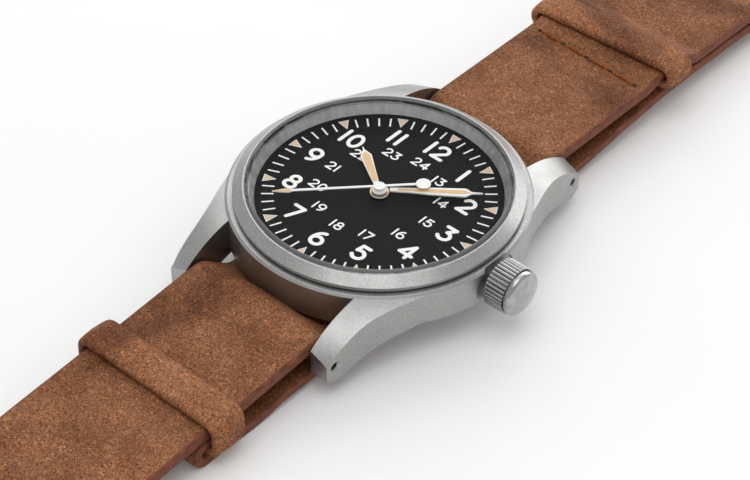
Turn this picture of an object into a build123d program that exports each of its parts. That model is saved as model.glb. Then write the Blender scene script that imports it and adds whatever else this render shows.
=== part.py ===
from build123d import *

import os
from math import atan2, cos, degrees, hypot, radians, sin, sqrt, tan

os.makedirs("parts", exist_ok=True)

# Field watch on a two-layer leather strap, in millimetres. The origin is on the watch axis at the
# table, with +X to the crown, +Y to twelve o'clock and +Z up out of the dial.

# Clearances and overrun
overrun = 1.0
running_fit = 0.03
snug_fit = 0.02
layer_gap = 0.05
wheel_gap = 0.1
bridge_gap = 0.2

# Strap
strap_width = 19.5
strap_side_gap = 0.25
short_strap_thickness = 1.3
long_strap_thickness = 1.5
keeper_thickness = 1.0

# Case: the bore and the movement follow from its radius
case_radius = 18.5
case_wall = 2.25
casing_width = 3.45
flank_rise = 1.9
ledge_rise = 0.35
top_bevel = 0.3
underside_bevel_width = 1.2
underside_bevel_height = 0.6
back_thickness = 1.1
movement_clearance = 0.3
movement_height = 4.3
dial_thickness = 0.4
dial_gap = 0.4
lug_gap = strap_width + 2 * strap_side_gap
case_bore_radius = case_radius - case_wall
movement_radius = case_bore_radius - casing_width
dial_radius = case_bore_radius - dial_gap

# Heights that follow from the stack
back_bottom = short_strap_thickness + long_strap_thickness + 2 * layer_gap
back_floor = back_bottom + back_thickness
movement_bottom = back_floor + movement_clearance
plate_top = movement_bottom + movement_height
dial_top = plate_top + dial_thickness
ledge_height = dial_top + ledge_rise
flank_top = ledge_height - top_bevel
flank_bottom = back_bottom + flank_rise
case_bottom = flank_bottom - underside_bevel_height

# Units of the movement: its plan is drawn in 128ths of its radius, its levels in 430ths of its height
plan_unit = movement_radius / 128
level_unit = movement_height / 430

# Lugs and spring bars
spring_bar_offset = 3.1
spring_bar_rise = 1.35
spring_bar_radius = 0.75
spring_bar_tip_reach = 1.5
spring_bar_tip_length = 3.4
spring_bar_bore_depth = 4.4
lug_tip_reach = 1.25
lug_tip_drop = 4.25
lug_top_curve = 12.4
lug_hole_radius = 0.5
lug_hole_chamfer = 0.2
lug_root_share = 0.4324
lug_hole_side_share = 0.312
lug_bottom_shares = (
    (1.0, 1.14),
    (0.945, 1.46),
    (0.885, 1.4),
    (0.82, 1.08),
    (0.74, 0.75),
    (0.65, 0.45),
    (0.55, 0.17),
    (0.35, 0.0),
)
lug_side_shares = (
    (0.42, 0.682),
    (0.586, 0.5235),
    (0.7, 0.4235),
    (0.805, 0.365),
    (0.9015, 0.334),
    (0.98, 0.3),
)
spring_bar_place = case_radius + spring_bar_offset
spring_bar_height = back_bottom + spring_bar_rise
lug_length = spring_bar_place + lug_tip_reach
lug_root = case_radius * lug_root_share
lug_wall = case_radius - lug_gap / 2

# Bezel, crystal and inner ring
bezel_inset = 0.9
bezel_groove_depth = 0.35
bezel_groove_height = 0.25
bezel_side_height = 0.39
bezel_slope_height = 0.92
bezel_rim = 0.12
crystal_gasket_width = 0.06
crystal_thickness = 0.8
crystal_bevel_width = 0.5
crystal_rise = 0.34
rehaut_foot_width = 1.25
rehaut_top_width = 0.7
rehaut_lip = 0.2
bezel_radius = case_radius - bezel_inset
crystal_radius = case_bore_radius - crystal_gasket_width
rehaut_foot_radius = case_bore_radius - rehaut_foot_width
rehaut_top_radius = case_bore_radius - rehaut_top_width

# Stem, along the winding axis
stem_height = movement_bottom + 235 * level_unit
stem_radius = 55 * level_unit
stem_square = 76 * level_unit
stem_pilot_radius = 25 * level_unit
stem_pilot_start = 27 * plan_unit
stem_square_start = 42 * plan_unit
stem_square_end = 80 * plan_unit
stem_groove_place = 98 * plan_unit
stem_groove_width = 6 * plan_unit
stem_groove_radius = 30 * level_unit
crown_travel = 14 * plan_unit

# Crown and its tube
crown_gap = 0.4
crown_radius = 2.85
crown_knurl_length = 2.9
crown_ridges = 36
crown_ridge_radius = 0.21
crown_core_inset = 0.17
crown_neck_width = 0.16
crown_cap_radius = 2.85
crown_cap_edge = 0.2
crown_cap_round = 0.55
crown_dome = 0.45
crown_cavity_radius = 1.6
crown_cavity_depth = 2.3
crown_tube_radius = 1.0
crown_tube_gap = 0.07
crown_tube_overlap = 2.0
crown_gasket_length = 0.4
crown_gasket_inset = 0.1
crown_seat_radius = 3.25
crown_seat_depth = 0.5
crown_face = case_radius + crown_gap
crown_tube_bore = stem_radius + crown_tube_gap
crown_tube_reach = crown_face + crown_tube_overlap

# Case back
back_flange = 0.65
back_bevel_width = 1.5
back_bevel_height = 0.7
back_plug_wall = 0.65
back_plug_height = 0.8
back_gasket_width = 0.3
back_gasket_inset = 0.2
back_notches = 6
back_notch_width = 1.6
back_notch_depth = 0.5
back_radius = case_bore_radius + back_flange

bezel_top = ledge_height + bezel_groove_height + bezel_side_height + bezel_slope_height
crystal_top = bezel_top + crystal_rise
crystal_bottom = crystal_top - crystal_thickness
back_plug_top = case_bottom + back_plug_height
movement_ring_radius = case_bore_radius - wheel_gap


# Shared helpers

def polar(distance, angle, start=(0, 0)):
    """Place at a distance and an angle in degrees from a start."""
    return (start[0] + distance * cos(radians(angle)), start[1] + distance * sin(radians(angle)))


def bearing(start, end):
    """Angle in degrees of the line from one place to another."""
    return degrees(atan2(end[1] - start[1], end[0] - start[0]))


def level(place, height):
    """Level plane at a height over a place."""
    return Plane((place[0], place[1], height))


def across(reach, height):
    """Plane square to the stem axis at a reach along +X."""
    return Plane(origin=(reach, 0, height), x_dir=(0, 1, 0), z_dir=(1, 0, 0))


def post(place, bottom, top, radius, mode=Mode.ADD):
    """Upright round post, or hole, between two heights."""
    with Locations((place[0], place[1], bottom)):
        Cylinder(radius, top - bottom, align=(Align.CENTER, Align.CENTER, Align.MIN), mode=mode)


def rod(start, end, place, height, radius, mode=Mode.ADD):
    """Round rod, or hole, along X between two reaches."""
    with Locations(Plane(origin=(start, place, height), z_dir=(1, 0, 0))):
        Cylinder(radius, end - start, align=(Align.CENTER, Align.CENTER, Align.MIN), mode=mode)


def link(start, end, width):
    """Round-ended bar between two places, in a sketch."""
    middle = ((start[0] + end[0]) / 2, (start[1] + end[1]) / 2)
    with Locations(middle):
        SlotCenterToCenter(hypot(end[0] - start[0], end[1] - start[1]), width, bearing(start, end))


tooth_tip_share = 0.75
tooth_root_share = 1.0


window_count = 5
window_place_share = 0.56
window_share = 0.24


def toothed_disc(plane, thickness, teeth, module, tip_angle, windows=0, bore=0):
    """Disc with pointed teeth, one of them at the tip angle, with round windows and a bore."""
    pitch_radius = module * teeth / 2
    outline = []
    for index in range(teeth):
        tip = radians(tip_angle + 360 * index / teeth)
        root = tip + radians(180 / teeth)
        tip_radius = pitch_radius + tooth_tip_share * module
        root_radius = pitch_radius - tooth_root_share * module
        outline.append((tip_radius * cos(tip), tip_radius * sin(tip)))
        outline.append((root_radius * cos(root), root_radius * sin(root)))
    with BuildSketch(plane) as disc:
        Polygon(*outline, align=None)
        if windows:
            with PolarLocations(window_place_share * pitch_radius, windows):
                Circle(window_share * pitch_radius, mode=Mode.SUBTRACT)
        if bore:
            Circle(bore, mode=Mode.SUBTRACT)
    extrude(disc.sketch, amount=thickness)


def facing_tip(from_place, to_place, teeth):
    """Tip angle that puts a gap of a follower against the tip of the wheel that drives it."""
    return bearing(to_place, from_place) + 180 / teeth


# Case

with BuildPart() as lugs:
    with BuildSketch():
        with BuildLine():
            flank = [(lug_gap / 2 + lug_wall * side, lug_length * along) for along, side in lug_side_shares]
            Spline(*flank)
            Polyline(
                flank[-1],
                (flank[-1][0], lug_length),
                (lug_gap / 2, lug_length),
                (lug_gap / 2, lug_root),
                (flank[0][0], lug_root),
                flank[0],
            )
        make_face()
    extrude(amount=flank_top)
    with BuildSketch(Plane.XZ):
        with BuildLine():
            corner_radius = hypot(flank[-1][0], lug_length)
            lug_tip_top = flank_top - lug_tip_drop
            RadiusArc((case_radius, flank_top), (corner_radius, lug_tip_top), lug_top_curve)
            Polyline(
                (corner_radius, lug_tip_top),
                (corner_radius, 0),
                (0, 0),
                (0, flank_top),
                (case_radius, flank_top),
            )
        make_face()
    revolve(axis=Axis.Z, mode=Mode.INTERSECT)
    with BuildSketch(Plane.YZ.offset(lug_gap / 2)):
        with BuildLine():
            underside = [
                (lug_length * along, flank_bottom + (back_bottom - flank_bottom) * drop)
                for along, drop in lug_bottom_shares
            ]
            Spline(*underside)
            Polyline(
                underside[-1],
                (underside[-1][0], ledge_height),
                (lug_length, ledge_height),
                underside[0],
            )
        make_face()
    extrude(amount=lug_wall, mode=Mode.INTERSECT)
    mirror(about=Plane.XZ)
    mirror(about=Plane.YZ)


def lug_hole_rim(turn, place):
    """Chamfer round a spring bar hole, on the outer side of one lug."""
    outer = lug_gap / 2 + lug_wall * lug_hole_side_share
    rim = Plane(origin=(turn * outer, place, spring_bar_height), z_dir=(turn, 0, 0))
    with Locations(rim):
        Cone(
            lug_hole_radius,
            lug_hole_radius + 2 * lug_hole_chamfer,
            2 * lug_hole_chamfer,
            mode=Mode.SUBTRACT,
        )


with BuildPart() as case_middle:
    with BuildSketch(Plane.XZ):
        with BuildLine():
            Polyline(
                (case_bore_radius, case_bottom),
                (case_radius - underside_bevel_width, case_bottom),
                (case_radius, flank_bottom),
                (case_radius, flank_top),
                (case_radius - top_bevel, ledge_height),
                (case_bore_radius, ledge_height),
                close=True,
            )
        make_face()
    revolve(axis=Axis.Z)
    add(lugs.part)
    post((0, 0), case_bottom - overrun, ledge_height + overrun, case_bore_radius, Mode.SUBTRACT)
    for side in (-1, 1):
        place = side * spring_bar_place
        rod(-case_radius, case_radius, place, spring_bar_height, lug_hole_radius, Mode.SUBTRACT)
        for turn in (-1, 1):
            lug_hole_rim(turn, place)
    seat_floor = case_radius - crown_seat_depth
    rod(seat_floor, case_radius + overrun, 0, stem_height, crown_seat_radius, Mode.SUBTRACT)
    rod(0, case_radius, 0, stem_height, crown_tube_radius, Mode.SUBTRACT)

with BuildPart() as bezel:
    with BuildSketch(Plane.XZ):
        with BuildLine():
            groove_radius = bezel_radius - bezel_groove_depth
            groove_top = ledge_height + bezel_groove_height
            Polyline(
                (case_bore_radius, ledge_height),
                (groove_radius, ledge_height),
                (groove_radius, groove_top),
                (bezel_radius, groove_top),
                (bezel_radius, groove_top + bezel_side_height),
                (case_bore_radius + bezel_rim, bezel_top),
                (case_bore_radius, bezel_top),
                close=True,
            )
        make_face()
    revolve(axis=Axis.Z)

with BuildPart() as rehaut:
    with BuildSketch(Plane.XZ):
        with BuildLine():
            Polyline(
                (rehaut_foot_radius, dial_top),
                (case_bore_radius - snug_fit, dial_top),
                (case_bore_radius - snug_fit, crystal_bottom),
                (rehaut_top_radius, crystal_bottom),
                (rehaut_top_radius, crystal_bottom - rehaut_lip),
                close=True,
            )
        make_face()
    revolve(axis=Axis.Z)

with BuildPart() as crystal:
    post((0, 0), crystal_bottom, crystal_top, crystal_radius)
    chamfer(crystal.faces().sort_by(Axis.Z)[-1].edges(), crystal_rise, crystal_bevel_width)

with BuildPart() as crystal_gasket:
    post((0, 0), crystal_bottom, bezel_top, case_bore_radius)
    post((0, 0), crystal_bottom, bezel_top, crystal_radius, Mode.SUBTRACT)

with BuildPart() as case_back:
    with BuildSketch(Plane.XZ):
        with BuildLine():
            plug_radius = case_bore_radius - snug_fit
            Polyline(
                (0, back_bottom),
                (back_radius - back_bevel_width, back_bottom),
                (back_radius, back_bottom + back_bevel_height),
                (back_radius, case_bottom),
                (plug_radius, case_bottom),
                (plug_radius, back_plug_top),
                (plug_radius - back_plug_wall, back_plug_top),
                (plug_radius - back_plug_wall, back_floor),
                (0, back_floor),
                close=True,
            )
        make_face()
    revolve(axis=Axis.Z)
    gasket_radius = case_bore_radius + back_gasket_inset
    gasket_bottom = case_bottom - back_gasket_width
    with BuildSketch(Plane.XY.offset(gasket_bottom)):
        Circle(gasket_radius + back_gasket_width)
        Circle(gasket_radius, mode=Mode.SUBTRACT)
    extrude(amount=back_gasket_width, mode=Mode.SUBTRACT)
    with BuildSketch(Plane.XY.offset(back_bottom)):
        with PolarLocations(back_radius - back_bevel_width, back_notches):
            Rectangle(2 * back_bevel_width, back_notch_width)
    extrude(amount=back_notch_depth, mode=Mode.SUBTRACT)

with BuildPart() as case_back_gasket:
    with BuildSketch(Plane.XY.offset(gasket_bottom)):
        Circle(gasket_radius + back_gasket_width)
        Circle(gasket_radius, mode=Mode.SUBTRACT)
    extrude(amount=back_gasket_width)

# Crown

with BuildPart() as crown_tube:
    rod(case_bore_radius, crown_tube_reach, 0, stem_height, crown_tube_radius)
    rod(case_bore_radius, crown_tube_reach, 0, stem_height, crown_tube_bore, Mode.SUBTRACT)

crown_knurl_end = crown_face + crown_knurl_length
crown_cavity_end = crown_face + crown_cavity_depth

with BuildPart() as crown:
    with BuildSketch(across(crown_face, stem_height)):
        Circle(crown_radius - crown_core_inset)
        with PolarLocations(crown_radius, crown_ridges):
            Circle(crown_ridge_radius)
    extrude(amount=crown_knurl_length - crown_neck_width)
    rod(crown_face, crown_knurl_end, 0, stem_height, crown_radius - crown_core_inset)
    with BuildSketch(Plane.XZ):
        with BuildLine():
            cap_side = crown_knurl_end + crown_cap_edge
            cap_face = cap_side + crown_cap_round
            crown_tip = cap_face + crown_dome
            face_radius = crown_cap_radius - crown_cap_round
            cap_top = stem_height + crown_cap_radius
            Line((crown_knurl_end, cap_top), (cap_side, cap_top))
            CenterArc((cap_side, stem_height + face_radius), crown_cap_round, 0, 90)
            dome_radius = (face_radius**2 + crown_dome**2) / (2 * crown_dome)
            RadiusArc((cap_face, stem_height + face_radius), (crown_tip, stem_height), dome_radius)
            Polyline(
                (crown_tip, stem_height),
                (crown_knurl_end, stem_height),
                (crown_knurl_end, cap_top),
            )
        make_face()
    revolve(axis=Axis((0, 0, stem_height), (1, 0, 0)))
    rod(crown_face, crown_cavity_end, 0, stem_height, crown_cavity_radius, Mode.SUBTRACT)

with BuildPart() as crown_gasket:
    gasket_start = crown_face + crown_gasket_inset
    with BuildSketch(across(gasket_start, stem_height)):
        Circle(crown_cavity_radius - running_fit)
        Circle(crown_tube_radius + running_fit, mode=Mode.SUBTRACT)
    extrude(amount=crown_gasket_length)

with BuildPart() as stem:
    rod(stem_pilot_start, stem_square_start, 0, stem_height, stem_pilot_radius)
    with BuildSketch(across(stem_square_start, stem_height)):
        Rectangle(stem_square, stem_square)
    extrude(amount=stem_square_end - stem_square_start)
    rod(stem_square_end, crown_cavity_end, 0, stem_height, stem_radius)
    with BuildSketch(across(stem_groove_place - stem_groove_width / 2, stem_height)):
        Circle(stem_radius + overrun)
        Circle(stem_groove_radius, mode=Mode.SUBTRACT)
    extrude(amount=stem_groove_width, mode=Mode.SUBTRACT)

# Going train: teeth, modules, places and levels

barrel_teeth = 72
center_pinion_teeth = 12
center_teeth = 80
third_pinion_teeth = 10
third_teeth = 75
fourth_pinion_teeth = 10
fourth_teeth = 84
escape_pinion_teeth = 7
escape_teeth = 15
barrel_module = 1.3 * plan_unit
center_module = plan_unit
fourth_module = 0.9 * plan_unit
third_distance = center_module * (center_teeth + third_pinion_teeth) / 2
third_module = 2 * third_distance / (third_teeth + fourth_pinion_teeth)
barrel_place = polar(barrel_module * (barrel_teeth + center_pinion_teeth) / 2, 88.6)
third_place = polar(third_distance, -75)
escape_place = polar(fourth_module * (fourth_teeth + escape_pinion_teeth) / 2, 190)
pallet_distance = 24.5 * plan_unit
balance_distance = 30.7 * plan_unit
line_of_centers = 242.3
pallet_place = polar(pallet_distance, line_of_centers, escape_place)
balance_place = polar(balance_distance, line_of_centers, pallet_place)

plate_bottom = movement_bottom + 300 * level_unit
recess_floor = movement_bottom + 345 * level_unit
bridge_top = movement_bottom + 120 * level_unit
bridge_bottom = movement_bottom + 30 * level_unit
wheel_thickness = 13 * level_unit
barrel_bottom = movement_bottom + 215 * level_unit
center_wheel_bottom = movement_bottom + 190 * level_unit
third_wheel_bottom = movement_bottom + 165 * level_unit
fourth_wheel_bottom = movement_bottom + 135 * level_unit
escape_wheel_bottom = movement_bottom + 166 * level_unit
pallet_bottom = movement_bottom + 168 * level_unit
pallet_bridge_bottom = movement_bottom + 140 * level_unit
pallet_bridge_thickness = 18 * level_unit
balance_bottom = movement_bottom + 105 * level_unit
balance_thickness = 22 * level_unit
hairspring_bottom = movement_bottom + 85 * level_unit
hairspring_height = 12 * level_unit
cock_bottom = movement_bottom + 25 * level_unit
cock_thickness = 42 * level_unit
jewel_radius = 5 * plan_unit
jewel_thickness = 25 * level_unit
pivot_radius = plan_unit
arbor_radius = 2.2 * plan_unit
hand_arbor_radius = 2 * plan_unit
center_pipe_radius = 3.8 * plan_unit
center_pipe_bore = 2.4 * plan_unit
cannon_radius = 5.2 * plan_unit
hour_pipe_bore = 5.8 * plan_unit
hour_pipe_radius = 8.5 * plan_unit
foot_width = 20 * plan_unit
screw_radius = 2.5 * plan_unit
screw_head_radius = 5.5 * plan_unit
screw_head_height = 14 * level_unit
bridge_radius = movement_radius - wheel_gap
pivot_top = plate_bottom + jewel_thickness
pivot_bottom = bridge_top - jewel_thickness

center_pinion_bottom = movement_bottom + 260 * level_unit
third_pinion_bottom = movement_bottom + 180 * level_unit
third_pinion_top = movement_bottom + 215 * level_unit
fourth_pinion_bottom = movement_bottom + 155 * level_unit
fourth_pinion_top = movement_bottom + 185 * level_unit
escape_pinion_bottom = movement_bottom + 128 * level_unit
escape_pinion_top = movement_bottom + 156 * level_unit

# Hands, each with its own height over the dial
hour_hand_rise = 0.46
minute_hand_rise = 0.85
seconds_hand_rise = 1.33
hand_thickness = 0.2
seconds_hand_thickness = 0.12
hour_hand_share = 0.5363
minute_hand_share = 0.7811
seconds_hand_share = 0.8088
seconds_tail_share = 0.3331
seconds_tail_radius = 0.9
seconds_shaft_width = 0.32
hour_hub_radius = 1.15
minute_hub_radius = 0.95
seconds_hub_radius = 0.72
hour_hand_width = 1.4
minute_hand_width = 1.42
seconds_blade_width = 0.72
hour_outline_shares = ((0.1, 0.43), (0.8, 1.0), (0.93, 0.15), (1.0, 0.05))
minute_outline_shares = ((0.1, 0.41), (0.33, 0.56), (0.47, 0.82), (0.836, 1.0), (0.893, 0.18), (1.0, 0.06))
seconds_outline_shares = ((0.0, 0.44), (0.81, 0.45), (0.838, 1.0), (0.901, 0.78), (1.0, 0.08))
hour_angle = 145.7
minute_angle = 38.3
seconds_angle = -133.5
hour_hand_length = dial_radius * hour_hand_share
minute_hand_length = dial_radius * minute_hand_share
seconds_hand_length = dial_radius * seconds_hand_share
seconds_tail_length = dial_radius * seconds_tail_share
hour_hand_top = dial_top + hour_hand_rise
minute_hand_top = dial_top + minute_hand_rise
seconds_hand_top = dial_top + seconds_hand_rise

# Dial and casing ring

with BuildPart() as dial:
    post((0, 0), plate_top, dial_top, dial_radius)
    post((0, 0), plate_top, dial_top, hour_pipe_radius + wheel_gap, Mode.SUBTRACT)

clamp_length = 2.0
clamp_width = 1.6
clamp_thickness = 0.4
clamp_angles = (60, 240)
clamp_radius = (movement_radius + movement_ring_radius) / 2 - clamp_length / 2

with BuildPart() as movement_ring:
    post((0, 0), back_plug_top, plate_top, movement_ring_radius)
    post((0, 0), back_plug_top, plate_top, movement_radius + layer_gap, Mode.SUBTRACT)
    rod(0, movement_ring_radius, 0, stem_height, crown_tube_radius, Mode.SUBTRACT)
    for angle in clamp_angles:
        with BuildSketch(level((0, 0), back_plug_top)) as slot:
            with Locations(Location(polar(clamp_radius, angle), angle)):
                Rectangle(clamp_length + snug_fit, clamp_width + snug_fit)
        extrude(slot.sketch, amount=plate_bottom - back_plug_top, mode=Mode.SUBTRACT)

with BuildPart() as case_clamps:
    for angle in clamp_angles:
        with BuildSketch(level((0, 0), plate_bottom - clamp_thickness)) as clamp:
            with Locations(Location(polar(clamp_radius, angle), angle)):
                Rectangle(clamp_length, clamp_width)
        extrude(clamp.sketch, amount=clamp_thickness)
        screw_place = polar(movement_radius - screw_head_radius - wheel_gap, angle)
        post(screw_place, plate_bottom - clamp_thickness - screw_head_height, plate_bottom, screw_head_radius)

# Motion works and keyless works: teeth, places and levels

cannon_teeth = 12
minute_wheel_teeth = 36
minute_pinion_teeth = 10
hour_teeth = 40
setting_teeth = 20
motion_module = plan_unit
motion_distance = motion_module * (cannon_teeth + minute_wheel_teeth) / 2
hour_module = 2 * motion_distance / (hour_teeth + minute_pinion_teeth)
minute_place = polar(motion_distance, -40)
setting_distance = motion_module * (minute_wheel_teeth + setting_teeth) / 2
setting_place = (minute_place[0] + sqrt(setting_distance**2 - minute_place[1] ** 2), 0)
motion_bottom = movement_bottom + 355 * level_unit
motion_wheel_thickness = 15 * level_unit
hour_wheel_bottom = movement_bottom + 395 * level_unit
hour_wheel_thickness = 20 * level_unit
motion_recess_radius = 46 * plan_unit
lever_bottom = movement_bottom + 400 * level_unit
lever_thickness = 20 * level_unit
lever_pivot = (105 * plan_unit, 30 * plan_unit)
lever_arm = 30.5 * plan_unit
lever_pin_radius = 1.4 * plan_unit
lever_width = 7 * plan_unit
yoke_bottom = movement_bottom + 355 * level_unit
yoke_thickness = 35 * level_unit
yoke_pivot = (63.5 * plan_unit, -40 * plan_unit)
yoke_swing = 12.9
yoke_arm = 43 * plan_unit
yoke_finger_width = 2 * plan_unit
yoke_width = 8 * plan_unit
lever_swing = 27.0
pin_radius = 3 * plan_unit
clutch_radius = 140 * level_unit
clutch_start = 62 * plan_unit
clutch_end = 74 * plan_unit
clutch_groove_start = 65 * plan_unit
clutch_groove_end = 71 * plan_unit
clutch_groove_radius = 105 * level_unit
winding_start = 74.5 * plan_unit
winding_end = 86 * plan_unit
winding_teeth = 16
winding_module = 19 * level_unit
slot_start = 51.5 * plan_unit
slot_end = 89.5 * plan_unit
slot_width = 350 * level_unit
stem_block_end = 122 * plan_unit
stem_block_width = 26 * plan_unit
ratchet_module = 2 * plan_unit
ratchet_teeth = 50
crown_wheel_teeth = 26
winding_wheel_bottom = movement_bottom + 35 * level_unit
winding_wheel_thickness = 30 * level_unit
crown_wheel_radius = ratchet_module * crown_wheel_teeth / 2
ratchet_radius = ratchet_module * ratchet_teeth / 2
crown_wheel_place = (
    barrel_place[0] + sqrt((ratchet_radius + crown_wheel_radius) ** 2 - barrel_place[1] ** 2),
    0,
)
winding_recess_top = winding_wheel_bottom + winding_wheel_thickness + wheel_gap
drum_radius = 44.5 * plan_unit
drum_wall = 15 * level_unit
drum_top = movement_bottom + 290 * level_unit
barrel_arbor_radius = 8 * plan_unit
train_places = (third_place, escape_place)
foot_reach = 115 * plan_unit
foot_places = {
    "barrel": (polar(foot_reach, 28), polar(foot_reach, 152)),
    "train": (polar(foot_reach, -28), polar(foot_reach, -88)),
}
cock_foot = (-110 * plan_unit, -22 * plan_unit)
cock_width = 24 * plan_unit
screw_places = foot_places["barrel"] + foot_places["train"]

with BuildPart() as main_plate:
    post((0, 0), plate_bottom, plate_top, movement_radius)
    with BuildSketch(level((0, 0), plate_bottom)):
        with Locations(((slot_end + stem_block_end) / 2, 0)):
            Rectangle(stem_block_end - slot_end, stem_block_width)
    extrude(amount=bridge_top - plate_bottom)
    with BuildSketch(level((0, 0), recess_floor)):
        Circle(motion_recess_radius)
        Polygon(
            (0, setting_place[0]),
            (lever_pivot[0], lever_pivot[1] + pin_radius + lever_width),
            (stem_block_end, slot_width / 2),
            (stem_block_end, -slot_width / 2),
            (yoke_pivot[0] + yoke_width, yoke_pivot[1] - yoke_width),
            (0, -setting_place[0]),
            align=None,
        )
    extrude(amount=plate_top - recess_floor, mode=Mode.SUBTRACT)
    with BuildSketch(level((0, 0), plate_bottom)):
        with Locations(((slot_start + slot_end) / 2, 0)):
            Rectangle(slot_end - slot_start, slot_width)
    extrude(amount=plate_top - plate_bottom, mode=Mode.SUBTRACT)
    with BuildSketch(level((0, 0), stem_height)):
        with Locations((lever_pivot[0], 0)):
            Rectangle(crown_travel + lever_width, lever_width)
    extrude(amount=plate_top - stem_height, mode=Mode.SUBTRACT)
    rod(slot_start, movement_radius, 0, stem_height, stem_radius + running_fit, Mode.SUBTRACT)
    post((0, 0), plate_bottom, plate_top, center_pipe_radius + wheel_gap, Mode.SUBTRACT)
    for place in train_places + (pallet_place, balance_place):
        post(place, plate_bottom, plate_bottom + jewel_thickness, jewel_radius, Mode.SUBTRACT)
    post(barrel_place, plate_bottom, recess_floor, pin_radius + running_fit, Mode.SUBTRACT)
    post(minute_place, recess_floor, hour_wheel_bottom + hour_wheel_thickness, pivot_radius)
    post(setting_place, recess_floor, motion_bottom + motion_wheel_thickness, pin_radius)
    post(lever_pivot, recess_floor, lever_bottom + lever_thickness, pin_radius)
    post(yoke_pivot, recess_floor, yoke_bottom + yoke_thickness, pin_radius)

barrel_edge = 6 * plan_unit
crown_wheel_left = 19 * plan_unit
crown_wheel_below = -32 * plan_unit
foot_radius = foot_width / 2
click_reach = 11 * plan_unit
click_tooth_gap = 3.5 * plan_unit
crown_wheel_post = 7.5 * plan_unit
balance_radius = 36 * plan_unit
balance_rim = 4 * plan_unit
click_distance = ratchet_radius + click_reach
click_place = polar(click_distance, 140, barrel_place)
click_tip = polar(ratchet_radius + click_tooth_gap, 128, barrel_place)
click_spring_end = polar(click_distance + bridge_gap, 127, barrel_place)
click_spring_foot = polar(click_distance + bridge_gap, 120, barrel_place)
click_pocket = 22 * plan_unit
click_radius = 5 * plan_unit
click_pin = 2.5 * plan_unit
train_bridge_shares = (
    (-0.484, 0.031),
    (0.132, 0.031),
    (0.132, -0.266),
    (1.0, -0.266),
    (1.0, -1.0),
    (-0.078, -1.0),
    (-0.203, -0.313),
    (-0.484, -0.156),
)


def bridge_slab(outline):
    """Level slab of a bridge, inside the movement's edge."""
    with BuildSketch(level((0, 0), bridge_bottom)) as slab:
        Circle(bridge_radius)
        Polygon(*outline, align=None, mode=Mode.INTERSECT)
    extrude(slab.sketch, amount=bridge_top - bridge_bottom)


def feet(places, bottom):
    """Feet up to the main plate, each with its screw hole."""
    for place in places:
        post(place, bottom, plate_bottom, foot_radius)
        post(place, bridge_bottom - overrun, plate_bottom, screw_radius, Mode.SUBTRACT)


def slot_box(start, end, bottom, top):
    """Opening round the clutch and the winding pinion."""
    with BuildSketch(level((0, 0), bottom)) as opening:
        with Locations(((start + end) / 2, 0)):
            Rectangle(end - start, slot_width)
    extrude(opening.sketch, amount=top - bottom, mode=Mode.SUBTRACT)


with BuildPart() as barrel_bridge:
    bridge_slab(
        [
            (-movement_radius, barrel_edge),
            (crown_wheel_left, barrel_edge),
            (crown_wheel_left, crown_wheel_below),
            (movement_radius, crown_wheel_below),
            (movement_radius, movement_radius),
            (-movement_radius, movement_radius),
        ]
    )
    feet(foot_places["barrel"], bridge_top)
    recesses = (
        (barrel_place, ratchet_radius + bridge_gap + wheel_gap),
        (crown_wheel_place, crown_wheel_radius + bridge_gap + wheel_gap),
        (click_place, click_pocket),
    )
    for place, radius in recesses:
        post(place, bridge_bottom, winding_recess_top, radius, Mode.SUBTRACT)
    post(crown_wheel_place, bridge_bottom, winding_recess_top, crown_wheel_post)
    post(click_place, bridge_bottom, winding_recess_top, click_pin)
    slot_box(slot_start, slot_end, stem_height - clutch_radius - layer_gap, bridge_top)
    slot_box(winding_start - wheel_gap, slot_end, bridge_bottom, bridge_top)
    post(barrel_place, bridge_bottom, bridge_top, barrel_arbor_radius + running_fit, Mode.SUBTRACT)

with BuildPart() as train_bridge:
    bridge_slab([(movement_radius * x, movement_radius * y) for x, y in train_bridge_shares])
    feet(foot_places["train"], bridge_top)
    post(balance_place, bridge_bottom, bridge_top, balance_radius + bridge_gap, Mode.SUBTRACT)
    for place in ((0, 0),) + train_places:
        post(place, pivot_bottom, bridge_top, jewel_radius, Mode.SUBTRACT)
        post(place, bridge_bottom, bridge_top, pivot_radius + snug_fit, Mode.SUBTRACT)

with BuildPart() as balance_cock:
    with BuildSketch(level((0, 0), cock_bottom)):
        link(cock_foot, balance_place, cock_width)
    extrude(amount=cock_thickness)
    post(cock_foot, cock_bottom, plate_bottom, foot_radius)
    post(cock_foot, cock_bottom, plate_bottom, screw_radius, Mode.SUBTRACT)
    cock_top = cock_bottom + cock_thickness
    post(balance_place, cock_top - jewel_thickness, cock_top, jewel_radius, Mode.SUBTRACT)

pallet_foot_reach = 19 * plan_unit
pallet_foot_radius = 4 * plan_unit
pallet_feet = [polar(pallet_foot_reach, line_of_centers + turn, pallet_place) for turn in (-90, 90)]
pallet_jewel = 3 * plan_unit

with BuildPart() as pallet_bridge:
    with BuildSketch(level((0, 0), pallet_bridge_bottom)):
        link(pallet_feet[0], pallet_feet[1], 2 * pallet_foot_radius)
    extrude(amount=pallet_bridge_thickness)
    for place in pallet_feet:
        post(place, pallet_bridge_bottom, plate_bottom, pallet_foot_radius)
    pallet_bridge_top = pallet_bridge_bottom + pallet_bridge_thickness
    post(pallet_place, pallet_bridge_bottom, pallet_bridge_top, pallet_jewel, Mode.SUBTRACT)

with BuildPart() as jewels:
    for place in train_places + (pallet_place, balance_place):
        post(place, plate_bottom, pivot_top, jewel_radius)
    for place in ((0, 0),) + train_places:
        post(place, pivot_bottom, bridge_top, jewel_radius)
    post(balance_place, cock_top - jewel_thickness, cock_top, jewel_radius)
    post(pallet_place, pallet_bridge_bottom, pallet_bridge_top, pallet_jewel)
    for place in ((0, 0),) + train_places + (pallet_place, balance_place):
        post(place, cock_bottom, pivot_top + overrun, pivot_radius + snug_fit, Mode.SUBTRACT)

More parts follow.
